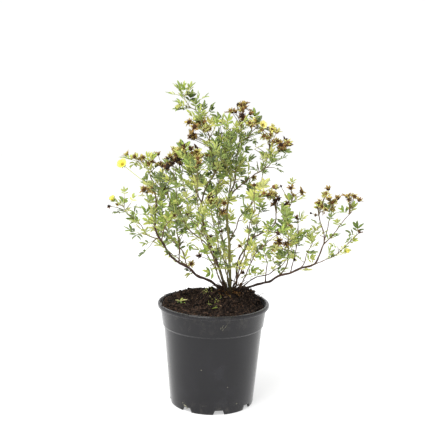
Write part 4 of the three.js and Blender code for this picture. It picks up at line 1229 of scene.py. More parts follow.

# %% [markdown]
# The thick middle also needs leaves deep inside, or it looks hollow from the side. Some leafy shoots
# are therefore put inside the bush one by one: the stem and its share, the heading and the length.

# %% Inner shoots
INNER_SHOOTS = [
    ("back_stem", [(0.55, -80, 38), (0.66, -120, 36), (0.78, -70, 34), (0.88, -150, 26)]),
    ("back_right_stem", [(0.5, -120, 36), (0.68, -140, 36), (0.84, -100, 30)]),
    ("back_left_stem", [(0.55, -60, 34), (0.75, -30, 34), (0.9, -75, 28)]),
    ("back_far_stem", [(0.6, -60, 36), (0.85, -100, 34)]),
    ("back_low_left_stem", [(0.6, -20, 32), (0.8, -60, 34)]),
    ("back_low_right_stem", [(0.6, 170, 30), (0.82, 150, 30)]),
    ("tall_left_stem", [(0.2, 80, 50), (0.4, 110, 54), (0.55, 60, 46)]),
    ("upright_left_fork", [(0.2, 100, 50), (0.45, 85, 46)]),
    ("centre_left_fork", [(0.4, 95, 46), (0.7, -95, 34)]),
    ("upright_right_fork", [(0.15, 95, 48), (0.35, 120, 46), (0.55, 80, 38)]),
    ("centre_side_branch", [(0.5, 110, 42)]), ("left_mid_shoot", [(0.5, 80, 36)]),
    ("left_back_shoot", [(0.6, 60, 34)]), ("tall_left_stem", [(0.35, -90, 36)]),
    ("upright_left_fork", [(0.4, -100, 32)]), ("thin_right_stem", [(0.6, 90, 36)]),
    ("upright_right_fork", [(0.45, -80, 32)]), ("right_back_shoot", [(0.5, 90, 30)]),
    ("right_mid_shoot", [(0.5, 100, 32)]),
]
LEAF_EVERY = 3
INNER_LEAVES = (20, 28)

shoots = [(name, *shoot) for name, on_stem in INNER_SHOOTS for shoot in on_stem]
for number, (name, share, heading, length) in enumerate(shoots):
    draw = chance("inner shoots", number)
    start, tangent = along_stem(name, share)
    side = heading_to(radians(heading))
    shoot = course([start, start + length * (0.5 * side + 0.25 * tangent),
                    start + length * (0.8 * side + 0.7 * tangent)], SHOOT_STEP)
    add_tube(wood[name], shoot, np.linspace(0.75, 0.45, len(shoot)), 5, youth=1.0, olive=0.4)
    for k in range(LEAF_EVERY, len(shoot), LEAF_EVERY):
        way = swung(turned_to(shoot[k] - shoot[k - 1], 2.4 * k), draw.uniform(0.4, 1.0))
        add_leaf(leaves[name], shoot[k], way, draw.uniform(*INNER_LEAVES), draw, tint_and_painted_light_at(shoot[k], draw))
        leaf_count += 1
print(len(shoots), "inner shoots make it", leaf_count, "leaves")

# %% [markdown]
# A living leaf is matt and softly hairy, so it has a little sheen instead of gloss, an index near
# 1.4 and light that comes through from behind. The upper side runs from a dull blue-green to
# yellow-green with the leaf's age and with the painted light and painted shade that its tint carries,
# the midrib is paler, and the underside is greyer. Blotches of 4 mm keep neighbouring leaflets from
# looking alike.

# %% Hairy leaf
leaf_skin = new_material("hairy_leaf", IOR=1.4, Roughness=0.5, Specular_IOR_Level=0.5, Sheen_Weight=0.1,
                         Sheen_Roughness=0.4, Subsurface_Weight=0.15, Subsurface_Scale=0.001,
                         Subsurface_Radius=(0.9, 1.0, 0.3))
tint = add_node(leaf_skin, "Attribute", "Fac", attribute_name="tint")
place = add_node(leaf_skin, "TexCoord", "Object")
blotch = add_node(leaf_skin, "TexNoise", "Fac", {"Vector": place, "Scale": 1 / 0.004, "Detail": 3.0})
shift = add_node(leaf_skin, "MapRange", 0, {"Value": blotch, "To Min": -0.14, "To Max": 0.14})
shifted = add_node(leaf_skin, "Math", 0, {0: tint, 1: shift}, operation="ADD")
greens = add_node(leaf_skin, "ValToRGB", "Color", {"Fac": shifted},
                  stops=[(0.0, "#253010"), (0.22, "#506726"), (0.45, "#8da443"), (0.7, "#c2c766"),
                         (1.0, "#dfd78a")])
vein = add_node(leaf_skin, "Attribute", "Fac", attribute_name="vein")
rib = add_node(leaf_skin, "MapRange", 0,
               {"Value": vein, "From Min": 0.0, "From Max": 0.16, "To Min": 0.45, "To Max": 0.0})
ribbed = add_node(leaf_skin, "Mix", "Result", {"Factor": rib, "A": greens, "B": linear("#bcc381")},
                  data_type="RGBA")
under = add_node(leaf_skin, "Attribute", "Fac", attribute_name="under")
greyed = add_node(leaf_skin, "Math", 0, {0: under, 1: 0.5}, operation="MULTIPLY")
leaf_colour = add_node(leaf_skin, "Mix", "Result",
                       {"Factor": greyed, "A": ribbed, "B": linear("#a0ae74")}, data_type="RGBA")
bump = add_node(leaf_skin, "Bump", "Normal", {"Height": blotch, "Strength": 0.2, "Distance": 0.0004})
wire(leaf_skin, Base_Color=leaf_colour, Normal=bump)

# %% [markdown]
# ## Dried flower heads
#
# When the petals fall, the calyx stays: five broad sepals with five narrow bracts between them,
# round a hairy dome of seeds. It dries to a brown star, black where it is old and tan or rust where
# it is fresh. Each head has its own radius, tint and openness, from a closed ball to a flat star.

# %% One dried head
DOME_LIFTS = (-80, -45, -10, 20, 50, 80)
DOME_SIDES = 8
DOME_FLATNESS = 0.8
DOME_SHARE = 0.42
HEART = 0.12
SEPAL_SLIM, BRACT_SLIM, BRACT_SHARE = 0.46, 0.22, 0.95


def add_dome(shape, centre, rows, radius, draw, **values):
    """A low bumpy dome of seeds with a closed underside."""
    rings = []
    angles = np.arange(DOME_SIDES) / DOME_SIDES * 2 * pi
    for lift in DOME_LIFTS:
        swell = np.array([1 + draw.uniform(-0.16, 0.16) for _ in angles])
        out = radius * cos(radians(lift)) * swell
        rise = np.full(DOME_SIDES, DOME_FLATNESS * radius * sin(radians(lift)))
        rings.append(np.stack([rise, np.cos(angles) * out, np.sin(angles) * out], 1) @ rows + centre)
    add_skin(shape, np.array(rings), **values)


def add_head(shape, centre, facing, radius, draw, tint, openness):
    """A dried star of sepals and bracts round a dome; openness is 0 for a ball, 1 for a flat star."""
    rows = turned_to(facing, draw.uniform(0, 2 * pi))
    lift = radians(68 - 60 * openness)
    for k in range(10):
        slim, share = (BRACT_SLIM, BRACT_SHARE) if k % 2 else (SEPAL_SLIM, 1.0)
        turn = 2 * pi * k / 10 + draw.uniform(-0.16, 0.16)
        spoke, blade_rows = spoke_and_rows(rows, turn, lift + draw.uniform(-0.25, 0.25))
        length = radius * share * draw.uniform(0.8, 1.15)
        add_blade(shape, centre + HEART * radius * spoke, blade_rows, length, length * slim,
                  fold=draw.uniform(0.2, 0.8), bend=draw.uniform(-0.3, 0.3),
                  twist=draw.uniform(-0.8, 0.8), widest=0.4, thickness=0.35, across=SEPAL_ACROSS,
                  stations=SEPAL_STATIONS, tint=clamped(tint + draw.uniform(-0.12, 0.2)))
    add_dome(shape, centre + HEART * radius * rows[0], rows, DOME_SHARE * radius, draw,
             tint=max(0.5 * tint - 0.12, 0), along=0.3)


# %% [markdown]
# The CAD has the heads that carry the plant's outline, at the tips of stems and in clusters. A
# cluster leaves its stem by one short fork, from which each head has its own thin stalk.

# %% Heads at the CAD's places
FORK_REACH = 3.0
HEAD_RADII = (6.2, 8.4)
TIP_HEAD_SIZE = 1.15
head_places = []


def add_stalk(name, path, thick):
    """A thin stalk of a head in its stem's wood, a little thicker at its foot."""
    add_twig(name, path, 1.2 * thick, 0.8 * thick, 0.3)


def add_cluster(name, draw):
    """The fork, the stalks and the heads of one cluster."""
    at, tint, heads = HEAD_CLUSTERS[name]
    start = along_stem(name, at)[0]
    fork = start + FORK_REACH * unit(np.sum(np.subtract(heads, start), axis=0))
    add_stalk(name, [start, (start + fork) / 2, fork], 0.55)
    for centre in heads:
        centre = np.array(centre, float)
        add_stalk(name, bow(fork, centre, 0.06), 0.42)
        facing = unit(centre - fork) + np.array([draw.uniform(-0.5, 0.5), draw.uniform(-0.7, 0.1), 0.4])
        head_tint = clamped(tint + draw.uniform(-0.12, 0.15))
        add_head(dried[name], centre, facing, draw.uniform(*HEAD_RADII), draw, head_tint,
                 draw.uniform(0.25, 0.9))
        head_places.append(centre)


for number, name in enumerate(STEMS):
    draw = chance("CAD heads", number)
    tip, tangent = along_stem(name, 1.0)
    if STEMS[name]["head"]:
        add_head(dried[name], tip, tangent + np.array([0, 0, 0.3]), STEMS[name]["head"] * TIP_HEAD_SIZE,
                 draw, draw.uniform(0.05, 0.6), draw.uniform(0.3, 0.9))
        head_places.append(tip)
    if name in HEAD_CLUSTERS:
        add_cluster(name, draw)
print(len(head_places), "heads at the CAD's places")

# %% [markdown]
# More single heads can be told apart in the photograph than the CAD has. A reading says where the
# camera sees one, its radius, its tint and its openness. One that falls on a CAD head is left out.

# %% Readings of single heads
HEADS = [
    (-80, 322, 6.5, 0.62, 0.6), (-66, 302, 6.5, 0.5, 0.6), (-80, 360, 5.5, 0.3, 0.4),
    (-64, 369, 5.5, 0.08, 0.3), (-58, 380, 5.5, 0.85, 0.5), (-45, 388, 6, 0.08, 0.4),
    (-27, 368, 8, 0.14, 0.9), (-35, 413, 6.5, 0.32, 0.6), (-10, 418, 5, 0.7, 0.5),
    (40, 456, 6.5, 0.95, 0.5), (45, 441, 7, 0.55, 0.6), (69, 410, 4, 0.08, 0.4),
    (84, 402, 5.5, 0.85, 0.6), (55, 347, 6.5, 0.5, 0.2), (73, 335, 5.5, 0.2, 0.1),
    (72, 324, 7, 0.88, 0.7), (78, 322, 4, 0.08, 0.4), (92, 315, 7, 0.12, 0.8),
    (103, 304, 3, 0.03, 0.3), (89, 338, 3, 0.03, 0.5), (97, 335, 3, 0.03, 0.5),
    (122, 290, 9, 0.62, 1.0), (114, 276, 7, 0.2, 0.3), (128, 328, 7.5, 0.58, 0.8),
    (143, 295, 3, 0.02, 0.3), (70, 245, 6.5, 0.3, 0.5), (90, 242, 7, 0.5, 0.9),
    (121, 224, 4, 0.03, 0.3), (-8, 316, 6.5, 0.08, 0.7), (-6, 256, 5, 0.12, 0.6),
    (10, 265, 5, 0.35, 0.3), (38, 243, 4.5, 0.42, 0.4), (44, 202, 5, 0.12, 0.3),
    (152, 300, 4, 0.4, 0.4), (150, 293, 3.5, 0.35, 0.4), (168, 336, 4.5, 0.15, 0.9),
    (-22, 226, 6.5, 0.35, 0.4), (-35, 214, 7, 0.55, 0.6), (24, 372, 4, 0.5, 0.4),
    (-159, 300, 4.5, 0.12, 0.3), (-148, 303, 4, 0.7, 0.5),
]
HEAD_CLEARANCE = 6.5

added = 0
for number, (x, z, radius, tint, openness) in enumerate(HEADS):
    draw = chance("single heads", number)
    if min(hypot(x - px, z - pz) for px, pz in map(seen_from_camera, head_places)) < HEAD_CLEARANCE:
        continue
    name, end = twig_to(x, z, draw)
    facing = np.array([draw.uniform(-0.5, 0.5), -0.9, draw.uniform(0.0, 0.9)])
    add_head(dried[name], end, facing, radius, draw, tint, openness)
    added += 1
print(added, "single heads added")

# %% [markdown]
# In places the dried heads crowd into drifts, gold and olive over brown and black. A drift says
# where it is, how far it spreads, how many heads it has and between which tints they lie. A few
# shrivelled leaves hang among them, and the palest heads keep some curled petals.

# %% Drifts of heads
DRIFTS = [
    (-30, 423, 15, 9, 9, 0.6, 1.1), (-33, 408, 10, 6, 5, 0.3, 0.6), (-62, 386, 16, 12, 13, 0.5, 1.1),
    (-66, 370, 15, 9, 8, 0.05, 0.5), (-91, 362, 14, 9, 4, 0.3, 0.8), (-112, 370, 20, 6, 2, 0.6, 0.9),
    (-90, 325, 19, 7, 13, 0.35, 0.7), (-24, 372, 20, 16, 15, 0.4, 1.1), (32, 446, 14, 12, 9, 0.1, 0.8),
    (57, 428, 13, 9, 8, 0.8, 1.1), (78, 415, 13, 9, 8, 0.7, 1.1), (96, 398, 12, 9, 8, 0.2, 0.9),
    (78, 327, 14, 9, 7, 0.5, 1.0), (88, 314, 8, 7, 3, 0.1, 0.4), (124, 327, 12, 7, 2, 0.6, 0.8),
    (167, 312, 13, 14, 10, 0.4, 1.0), (203, 320, 9, 7, 4, 0.5, 0.8),
    (-70, 300, 12, 8, 3, 0.3, 0.6), (8, 305, 12, 12, 4, 0.3, 0.8), (98, 243, 20, 12, 3, 0.3, 0.6),
]
DRIFT_RADII = (5.2, 8.2)
FADED_SHARE, SHRIVELLED_SHARE = 0.4, 0.35


def add_faded_petals(shape, centre, facing, draw):
    """Three or four pale petals that still cling to a head, curled and shrunk."""
    rows = turned_to(facing, draw.uniform(0, 2 * pi))
    for k in range(draw.choice([3, 4])):
        turn = 2 * pi * k / 5 + draw.uniform(-0.2, 0.2)
        spoke, blade_rows = spoke_and_rows(rows, turn, draw.uniform(0.3, 1.0))
        add_blade(shape, centre + 0.5 * rows[0], blade_rows, draw.uniform(4.5, 7), draw.uniform(3.5, 5.5),
                  fold=draw.uniform(0.1, 0.6), bend=draw.uniform(-0.4, 0.4),
                  twist=draw.uniform(-0.6, 0.6), widest=0.6, tip=0.4, thickness=0.25,
                  tint=draw.uniform(1.0, 2.4))


for number, (x, z, wide, high, count, low_tint, high_tint) in enumerate(DRIFTS):
    draw = chance("drifts", number)
    for _ in range(count):
        angle, out = draw.uniform(0, 2 * pi), draw.random() ** 0.5
        name, end = twig_to(x + wide * out * cos(angle), z + high * out * sin(angle), draw)
        facing = np.array([draw.uniform(-0.6, 0.6), draw.uniform(-1, 0.5), draw.uniform(-0.2, 1.0)])
        add_head(dried[name], end, facing, draw.uniform(*DRIFT_RADII), draw,
                 draw.uniform(low_tint, high_tint), draw.uniform(0.2, 0.95))
        if high_tint > 1 and draw.random() < FADED_SHARE:
            add_faded_petals(faded[name], end, facing, draw)
        if draw.random() < SHRIVELLED_SHARE:
            way = (draw.gauss(0, 1), draw.gauss(0, 1), -0.4)
            add_leaf(dried[name], end, way, draw.uniform(9, 14), draw, draw.uniform(0.4, 0.9))
print(sum(drift[4] for drift in DRIFTS), "heads in drifts")

# %% [markdown]
# Fallen leaves wither where they are caught, low down between the main stems. They share the dried
# heads' papery material.

# %% Withered leaves caught at the crown
CAUGHT = 40
CROWN_STEMS = [name for name in STEMS if STEMS[name]["on"] == "crown"]
draw = chance("caught leaves")
for k in range(CAUGHT):
    name = CROWN_STEMS[k % len(CROWN_STEMS)]
    base = paths[name][draw.choice([5, 6, 7, 8, 10])]
    way = (draw.gauss(0, 1), draw.gauss(0, 1), draw.uniform(-0.6, 0.5))
    add_leaf(dried[name], base, way, draw.uniform(9, 15), draw, draw.uniform(0.05, 0.45))
print(CAUGHT, "withered leaves on", len(CROWN_STEMS), "stems")

# %% [markdown]
# A dried calyx is papery and dead matt. Its colour runs from nearly black through red-brown and
# rust to tan and a faded olive yellow, and its tips are paler than its middle. Its flecks are 1.6 mm.

# %% Dry calyx
calyx = new_material("dry_calyx", Roughness=0.85, Specular_IOR_Level=0.25, IOR=1.45)
tint = add_node(calyx, "Attribute", "Fac", attribute_name="tint")
place = add_node(calyx, "TexCoord", "Object")
fleck = add_node(calyx, "TexNoise", "Fac", {"Vector": place, "Scale": 1 / 0.0016, "Detail": 4.0})
shift = add_node(calyx, "MapRange", 0, {"Value": fleck, "To Min": -0.16, "To Max": 0.16})
tip = add_node(calyx, "Attribute", "Fac", attribute_name="along")
fading = add_node(calyx, "Math", 0, {0: tip, 1: 0.14, 2: shift}, operation="MULTIPLY_ADD")
shade = add_node(calyx, "Math", 0, {0: tint, 1: fading}, operation="ADD")
browns = add_node(calyx, "ValToRGB", "Color", {"Fac": shade},
                  stops=[(0.0, "#17100b"), (0.16, "#392315"), (0.34, "#6b4829"), (0.52, "#987443"),
                         (0.74, "#bdab60"), (1.0, "#cbc878")])
bump = add_node(calyx, "Bump", "Normal", {"Height": fleck, "Strength": 0.5, "Distance": 0.0005})
wire(calyx, Base_Color=browns, Normal=bump)

# %% [markdown]
# ## Yellow flowers
#
# Five round petals that just overlap, a ring of stamens round a small dome, and a green calyx
# behind. The petals cup a little and their edges ruffle. Only four are open on this plant, and the
# one at the top is past its best, with a brown heart.

# %% Flowers
FLOWER_RADIUS = 8.5
PETALS, CALYX_BLADES, STAMENS = 5, 10, 18
CALYX_SIZES = [(0.7, 0.18), (0.62, 0.32)]
WELL_FADED = 1
petals = {name: Shape("along", "tint") for name in FLOWERS}
calyxes = {name: Shape("tint", "under", "vein") for name in FLOWERS}


def add_stamens(shape, centre, rows, draw):
    """A ring of stamens: thin threads that each end in a thick little anther."""
    for k in range(STAMENS):
        spoke = spoke_and_rows(rows, 2.4 * k, 0)[0]
        foot = centre + 1.1 * spoke + 0.8 * rows[0]
        head = foot + 1.3 * spoke * draw.uniform(0.5, 1.2) + 2.4 * rows[0] * draw.uniform(0.8, 1.2)
        add_tube(shape, [foot, (foot + head) / 2, head - 0.1 * rows[0], head + 0.5 * rows[0]],
                 [0.14, 0.12, 0.38, 0.3], 5, along=0.02, tint=0.9)


def add_flower(name, centre, draw):
    """Petals, stamens and the calyx behind them."""
    flower = FLOWERS[name]
    radius = FLOWER_RADIUS * flower["size"]
    rows = turned_to(flower["facing"], draw.uniform(0, 2 * pi))
    lift = radians(72 - 58 * flower["open"])
    for k in range(PETALS):
        turn = 2 * pi * k / PETALS + draw.uniform(-0.08, 0.08)
        spoke, blade_rows = spoke_and_rows(rows, turn, lift + draw.uniform(-0.12, 0.12))
        add_blade(petals[name], centre + 0.6 * spoke + (0.5 + 0.12 * k) * rows[0], blade_rows, radius,
                  radius * 1.02, fold=0.1, bend=-0.14, widest=0.62, tip=0.42, thickness=0.25,
                  across=PETAL_ACROSS, stations=PETAL_STATIONS, ruffle=0.05, phase=k * 1.7,
                  tint=draw.uniform(0, 0.8) + flower["faded"])
    for k in range(CALYX_BLADES):
        spoke, blade_rows = spoke_and_rows(rows, 2 * pi * (k + 0.5) / CALYX_BLADES, lift * 0.6)
        length, width = CALYX_SIZES[k % 2]
        add_blade(calyxes[name], centre + 0.5 * spoke - 0.3 * rows[0], blade_rows, radius * length,
                  radius * width, fold=0.2, widest=0.35, tint=0.5)
    add_dome(calyxes[name], centre - 0.6 * rows[0], rows, 1.9, draw, tint=0.5)
    if flower["faded"] > WELL_FADED:
        add_dome(dried[flower["on"]], centre + 0.5 * rows[0], rows, 2.4, draw, tint=0.15)
    add_stamens(petals[name], centre, rows, draw)


for number, (name, flower) in enumerate(FLOWERS.items()):
    start = along_stem(flower["on"], flower["at"])[0]
    stalk = course([start, *flower["through"]], TWIG_STEP)
    add_tube(calyxes[name], stalk, np.linspace(0.6, 0.5, len(stalk)), 5, tint=0.7)
    add_flower(name, stalk[-1], chance("flowers", number))
print(len(FLOWERS), "flowers with", PETALS, "petals each")

# %% [markdown]
# A petal is thin and silky: an index near 1.4, some light through it, and a colour that is a clear
# yellow, deeper near its claw, and straw once it fades.

# %% Silky petal
petal_skin = new_material("silky_petal", IOR=1.4, Roughness=0.5, Subsurface_Weight=0.3,
                          Subsurface_Scale=0.001, Subsurface_Radius=(1.0, 0.8, 0.2))
along = add_node(petal_skin, "Attribute", "Fac", attribute_name="along")
tint = add_node(petal_skin, "Attribute", "Fac", attribute_name="tint")
yellows = add_node(petal_skin, "ValToRGB", "Color", {"Fac": along},
                   stops=[(0.0, "#c3ac1c"), (0.35, "#e9de3c"), (1.0, "#f5f080")])
aged = add_node(petal_skin, "Math", 0, {0: tint, 1: 0.3}, operation="MULTIPLY")
petal_colour = add_node(petal_skin, "Mix", "Result",
                        {"Factor": aged, "A": yellows, "B": linear("#ddd592")}, data_type="RGBA")
wire(petal_skin, Base_Color=petal_colour)

# %% [markdown]
# ## The crown
#
# All stems leave one woody crown, half buried in the mound. It is a knobbly turned lump with the
# stubs of stems that were pruned away and a tangle of dead twigs, in the bark of the old stems.

# %% Crown
CROWN_RADIUS = 13.0
CROWN_TOP = 174.0
CROWN_SIDES = 36
CROWN_RINGS = [(40, 0.3), (34, 0.75), (26, 0.95), (18, 1.0), (13, 0.98), (9, 0.9), (6, 0.78),
               (3.5, 0.6), (1.8, 0.36), (1.0, 0.1)]
STUBS = [(200, 0.6, 13), (320, 0.9, 11), (75, 0.7, 12), (140, 0.4, 15), (265, 0.8, 10)]
STUB_RADII = [2.2, 2.0, 1.9, 1.8, 1.7, 1.5]
DEAD_TWIGS = 26
crown_shape = Shape("youth", "olive", "grain")


def crown_ring(down, share):
    """One knobbly ring of the crown, down from its top and at a share of its radius."""
    z, ring = CROWN_TOP - down, []
    for a in np.arange(CROWN_SIDES) / CROWN_SIDES * 2 * pi:
        lump = noise.noise(Vector((cos(a) * 2.2, sin(a) * 2.2, z / 9)))
        out = CROWN_RADIUS * share * (1 + 0.16 * lump + 0.05 * sin(5 * a + z / 4))
        ring.append((CROWN_PLACE[0] + out * cos(a), CROWN_PLACE[1] + out * sin(a), z))
    return ring


def near_crown(way, down, out):
    """A point below the crown's top, out from its middle towards the side that a way points."""
    return np.array([*CROWN_PLACE, CROWN_TOP - down]) + out * unit(way * (1, 1, 0))


crown_rings = np.array([crown_ring(down, share) for down, share in CROWN_RINGS])
add_skin(crown_shape, crown_rings, grain=crown_rings.reshape(-1, 3) - np.array([*CROWN_PLACE, 0]))
for angle, lean, length in STUBS:
    way = heading_to(radians(angle), 1.0, lean)
    start = near_crown(way, 10, 4)
    stub = np.array([start + unit(way) * length * t for t in np.linspace(0, 1, len(STUB_RADII))])
    add_tube(crown_shape, stub, STUB_RADII, 9)
draw = chance("dead twigs")
for _ in range(DEAD_TWIGS):
    heading, lean = draw.uniform(0, 2 * pi), draw.uniform(0.3, 1.6)
    way = unit(heading_to(heading, 1.0, lean))
    start = near_crown(way, 8, draw.uniform(3, 9))
    twig = bow(start, start + draw.uniform(14, 32) * way, draw.uniform(0.05, 0.15), SHOOT_STEP)
    add_tube(crown_shape, twig, np.linspace(0.9, 0.4, len(twig)), 5, youth=0.4)
print("crown has", len(crown_shape.faces), "faces")

# %% [markdown]
# ## Litter on the peat
#
# The loose bits are what makes a pot of peat believable from close up: crumbs of every size, fibres
# and rootlets that lie across each other, chips of bark by the crown, a little moss, a few blades of
# grass, and one pale seedling at the left. Fibres and chips are dead wood, matt and brown, from
# nearly black when damp to straw when dry.

# %% Peat fibre and bark chips
fibre_skin = new_material("peat_fibre", Roughness=0.9, Specular_IOR_Level=0.25)
tint = add_node(fibre_skin, "Attribute", "Fac", attribute_name="tint")
browns = add_node(fibre_skin, "ValToRGB", "Color", {"Fac": tint},
                  stops=[(0.0, "#1b120d"), (0.3, "#362820"), (0.6, "#62493a"), (1.0, "#9d8468")])
wire(fibre_skin, Base_Color=browns)
for made in (pot_skin, peat, bark, leaf_skin, calyx, petal_skin, fibre_skin):
    print(made.name, "has", len(made.node_tree.nodes), "nodes")

# %% [markdown]
# No two crumbs are alike, so each is drawn by itself. Most lie anywhere, and clods gather on the
# heaps that the plant was bedded in with.

# %% Crumbs and clods
CRUMBS = 900
LOOSE_CLODS = 130
RIM_CRUMBS = 60
SMALLEST_CRUMB, BIGGEST_CRUMB = 0.7, 3.6
LITTER_RADIUS = 72
SOIL_REACH = 74.0
HEAPS = [(51, 40), (-6, 30), CROWN_PLACE]
RIM_BAND = (79.8, 83.5)
crumbs = Shape()
fibres = Shape("tint")


def on_soil(draw, most=SOIL_REACH):
    """A place on the soil, drawn evenly over its disc."""
    radius, angle = most * draw.random() ** 0.5, draw.uniform(0, 2 * pi)
    return on_peat(radius * cos(angle), radius * sin(angle))


def add_crumb(shape, centre, size, draw):
    """An angular crumb: a low ball of three rings with each point moved at random."""
    rings = []
    for lift in (-60, 0, 60):
        ring = [(cos(radians(lift)) * cos(a) * draw.uniform(0.7, 1.25),
                 cos(radians(lift)) * sin(a) * draw.uniform(0.7, 1.25),
                 0.75 * sin(radians(lift)) * draw.uniform(0.8, 1.2)) for a in np.arange(6) * pi / 3]
        rows = turned_to((draw.gauss(0, 1), draw.gauss(0, 1), 0.5))
        rings.append(np.array(ring) * size @ rows + centre)
    add_skin(shape, np.array(rings))


draw = chance("litter")
for _ in range(CRUMBS):
    size = min(SMALLEST_CRUMB + draw.expovariate(1.1), BIGGEST_CRUMB)
    centre = on_soil(draw)
    add_crumb(crumbs, centre + np.array([0, 0, 0.25 * size]), size, draw)
for _ in range(LOOSE_CLODS):
    bx, by = draw.choice(HEAPS)
    x, y = bx + draw.gauss(0, 11), by + draw.gauss(0, 11)
    if hypot(x, y) < LITTER_RADIUS:
        add_crumb(crumbs, on_peat(x, y, 0.6), draw.uniform(2.2, 5.0), draw)
print(len(crumbs.faces), "faces of crumbs")

# %% [markdown]
# Fibres lie flat on the peat, following its level, or stand out of the heaps. They are thinner than
# half a millimetre, so four sides are enough.

# %% Fibres
FIBRES = 250
STANDING_FIBRES = 150
FIBRE_STEP = 2.2


def held_in(x, y, radius):
    """A place pulled back inside a radius."""
    out = max(hypot(x, y) / radius, 1)
    return x / out, y / out


for _ in range(FIBRES):
    foot = on_soil(draw, LITTER_RADIUS)
    heading, length = draw.uniform(0, 2 * pi), draw.uniform(4, 17)
    points = []
    for t in np.linspace(0, 1, 4):
        x = foot[0] + length * t * cos(heading) + draw.uniform(-1.5, 1.5)
        y = foot[1] + length * t * sin(heading) + draw.uniform(-1.5, 1.5)
        points.append(on_peat(*held_in(x, y, 75), draw.uniform(0.2, 2.2)))
    add_tube(fibres, course(points, FIBRE_STEP), draw.uniform(0.16, 0.42), 4,
             tint=draw.choice([0.0, 0.1, 0.2, 0.35, 0.6]))
for _ in range(STANDING_FIBRES):
    bx, by = draw.choice([HEAPS[0], *HEAPS])
    foot = on_peat(*held_in(bx + draw.gauss(0, 12), by + draw.gauss(0, 12), SOIL_REACH), -0.5)
    way = unit((draw.gauss(0, 1), draw.gauss(0, 1), 0.5)) * draw.uniform(4, 9)
    strand = course([foot, foot + 0.5 * way + np.array([0, 0, 2.0]), foot + way], FIBRE_STEP)
    add_tube(fibres, strand, draw.uniform(0.2, 0.45), 4, tint=draw.choice([0.0, 0.1, 0.2, 0.4, 0.8]))
print(FIBRES + STANDING_FIBRES, "fibres")

# %% [markdown]
# The last of the dry litter is the crumbs on the rim, most of them at the left where the peat is
# banked up, and the chips of bark round the crown.

# %% Crumbs on the rim and chips of bark
BARK_CHIPS = 26
for _ in range(RIM_CRUMBS):
    angle, out = draw.gauss(radians(170), 0.9), draw.uniform(*RIM_BAND)
    size = draw.uniform(0.5, 1.3)
    add_crumb(crumbs, heading_to(angle, POT_HEIGHT + 0.3 * size, out), size, draw)
for _ in range(BARK_CHIPS):
    angle, out = draw.uniform(0, 2 * pi), draw.uniform(12, 30)
    foot = on_peat(CROWN_PLACE[0] + out * cos(angle), CROWN_PLACE[1] + out * sin(angle), 1.0)
    rows = turned_to(heading_to(angle + 1.5, draw.uniform(-0.3, 0.5)), draw.uniform(-0.6, 0.6))
    length = draw.uniform(5, 12)
    add_blade(fibres, foot, rows, length, length * 0.42, fold=0.1, bend=draw.uniform(-0.1, 0.2),
              thickness=0.9, widest=0.4, tip=0.3, tint=draw.choice([0.25, 0.5, 0.75]))
print(len(crumbs.faces) + len(fibres.faces), "faces of litter")

# %% [markdown]
# Damp peat grows moss, and seeds blow in. Moss, grass and the seedling are all made of the same
# blade as the leaflets, with the leaf's material. The seedling's leaves have a heading, a lift, a
# length, a width as a share of it, and a tint.

# %% Moss, grass and the seedling
MOSS_SPOTS = [(4.0, 4.0, 5.0), (-8.0, 28.0, 4.0), (-8.0, 28.0, 4.0)]
MOSS_BLADES = 120
GRASS = [(-4, -12, 8, 20), (2, -8, -4, 17), (8, -14, 20, 13), (-2, -4, 150, 9), (10, -4, 60, 10),
         (0, 2, 110, 9)]
SEEDLING = (-51.0, 18.0)
SEEDLING_LEAVES = [(10, 32, 11, 0.62, 1.0), (185, 35, 8, 0.55, 0.9), (60, 55, 7, 0.5, 0.6),
                   (280, 15, 7, 0.5, 0.25), (235, 20, 8, 0.4, 0.2), (330, 8, 12, 0.2, 0.45)]
greenery = Shape("tint", "under", "vein")
draw = chance("greenery")
for k in range(MOSS_BLADES):
    mx, my, wide = MOSS_SPOTS[k % len(MOSS_SPOTS)]
    foot = on_peat(mx + draw.gauss(0, wide), my + draw.gauss(0, wide), -0.3)
    way = (draw.gauss(0, 0.7), draw.gauss(0, 0.7), 1.0)
    add_blade(greenery, foot, turned_to(way, draw.uniform(0, 6)), draw.uniform(2, 5), 1.1, fold=0.3,
              bend=0.3, tint=draw.uniform(0.3, 1.0))
for x, y, heading, length in GRASS:
    rows = turned_to(heading_to(radians(heading), 0.3), draw.uniform(-0.3, 0.6))
    add_blade(greenery, on_peat(x, y, 1.0), rows, length, 1.7, fold=0.4, bend=0.25, widest=0.4,
              tint=draw.uniform(0.3, 0.75))
seedling_foot = np.array([*SEEDLING, smooth_level(*SEEDLING)])
half_stem = np.array([0, 0, 2])
for heading, lift, length, wide, shade in SEEDLING_LEAVES:
    way = heading_to(radians(heading), sin(radians(lift)), cos(radians(lift)))
    add_blade(greenery, seedling_foot + np.array([0, 0, 1.5]), turned_to(way), length, length * wide,
              fold=0.2, bend=0.42, tip=0.4, thickness=0.5, tint=shade)
seedling_stem = [seedling_foot - half_stem, seedling_foot, seedling_foot + half_stem]
add_tube(greenery, seedling_stem, 0.8, 6, tint=1.0)
print(len(greenery.faces), "faces of greenery")

# %% [markdown]
# A few rootlets stand out against the white, at the right of the heap and at the far left. A
# reading says where the camera sees one, how far it runs across and up, and its depth.

# %% Rootlets that stand out of the heap
ROOTLETS = [(66, 161, 12, 4, 30), (68, 164, 9, 7, 26), (64, 158, 14, -1, 34), (-74, 160, -3, 9, 8),
            (50, 168, 8, 8, 24)]
for x, z, across, up, depth in ROOTLETS:
    start, end = seen(x, z, depth), seen(x + across, z + up, depth)
    points = [on_peat(start[0], start[1], -1), start, (start + end) / 2 + np.array([0, 3, 1]), end]
    add_tube(fibres, course(points, 2), 0.3, 4, tint=0.5)
print(len(ROOTLETS), "rootlets")

# %% [markdown]
# ## Making the pieces
#
# Each CAD stem is replaced by its wood, and the leaves and dried heads that it carries are pieces
# beside it. A cluster of heads and a flower replace their own CAD nodes.

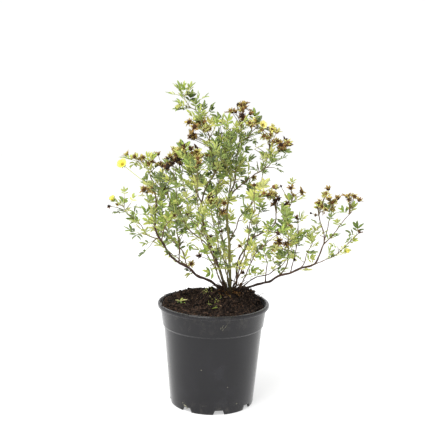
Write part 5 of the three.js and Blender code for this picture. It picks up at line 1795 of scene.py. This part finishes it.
# %% Make the plant's pieces
for name in STEMS:
    make_piece(f"{name}_wood", wood[name], bark, [name])
    if leaves[name].count:
        make_piece(f"{name}_leaves", leaves[name], leaf_skin)
    if faded[name].count:
        make_piece(f"{name}_faded_petals", faded[name], petal_skin)
    if dried[name].count:
        stands_for = [f"{name}_heads"] if name in HEAD_CLUSTERS else []
        make_piece(f"{name}_dried_heads", dried[name], calyx, stands_for)
for name in FLOWERS:
    make_piece(f"{name}_petals", petals[name], petal_skin, [name])
    make_piece(f"{name}_calyx", calyxes[name], leaf_skin)
make_piece("woody_crown", crown_shape, bark, ["crown"])
make_piece("peat_crumbs", crumbs, peat)
make_piece("peat_fibres", fibres, fibre_skin)
make_piece("moss_and_seedling", greenery, leaf_skin)

# %% [markdown]
# ## Floor and light
#
# A plain white studio: a large matt floor, an even white surround and one broad soft light from the
# upper left, so that the pot's sides catch pale edges and the foliage keeps some shade inside.

# %% Floor and light
FLOOR_REACH = 4.0
FLOOR_GLOW = 0.48
SURROUND_STRENGTH = 1.02
KEY_POWER = 42.0
KEY_SIZE = 1.4
KEY_PLACE = (-0.7, -0.9, 2.0)
KEY_TARGET = (0, 0, 0.25)

floor_mesh = bpy.data.meshes.new("floor")
corners = [(x * FLOOR_REACH, y * FLOOR_REACH, 0) for x, y in ((-1, -1), (1, -1), (1, 1), (-1, 1))]
floor_mesh.from_pydata(corners, [], [(0, 1, 2, 3)])
floor = add_object("floor", floor_mesh)
white_floor = new_material("matt_white_floor", Roughness=1.0, Specular_IOR_Level=0.1,
                           Base_Color=linear("#c8c8c8"), Emission_Color=linear("#ffffff"),
                           Emission_Strength=FLOOR_GLOW)
floor_mesh.materials.append(white_floor)

world = bpy.data.worlds.new("studio")
bpy.context.scene.world = world
world.use_nodes = True
world.node_tree.nodes["Background"].inputs["Color"].default_value = linear("#ffffff")
world.node_tree.nodes["Background"].inputs["Strength"].default_value = SURROUND_STRENGTH
key_data = bpy.data.lights.new("key", "AREA")
key_data.energy = KEY_POWER
key_data.size = KEY_SIZE
key = add_object("key", key_data)
key.location = KEY_PLACE
key.rotation_euler = (Vector(KEY_TARGET) - key.location).to_track_quat("-Z", "Y").to_euler()
bpy.context.scene.view_settings.view_transform = "Standard"
print("key light of", KEY_POWER, "W at", KEY_PLACE)
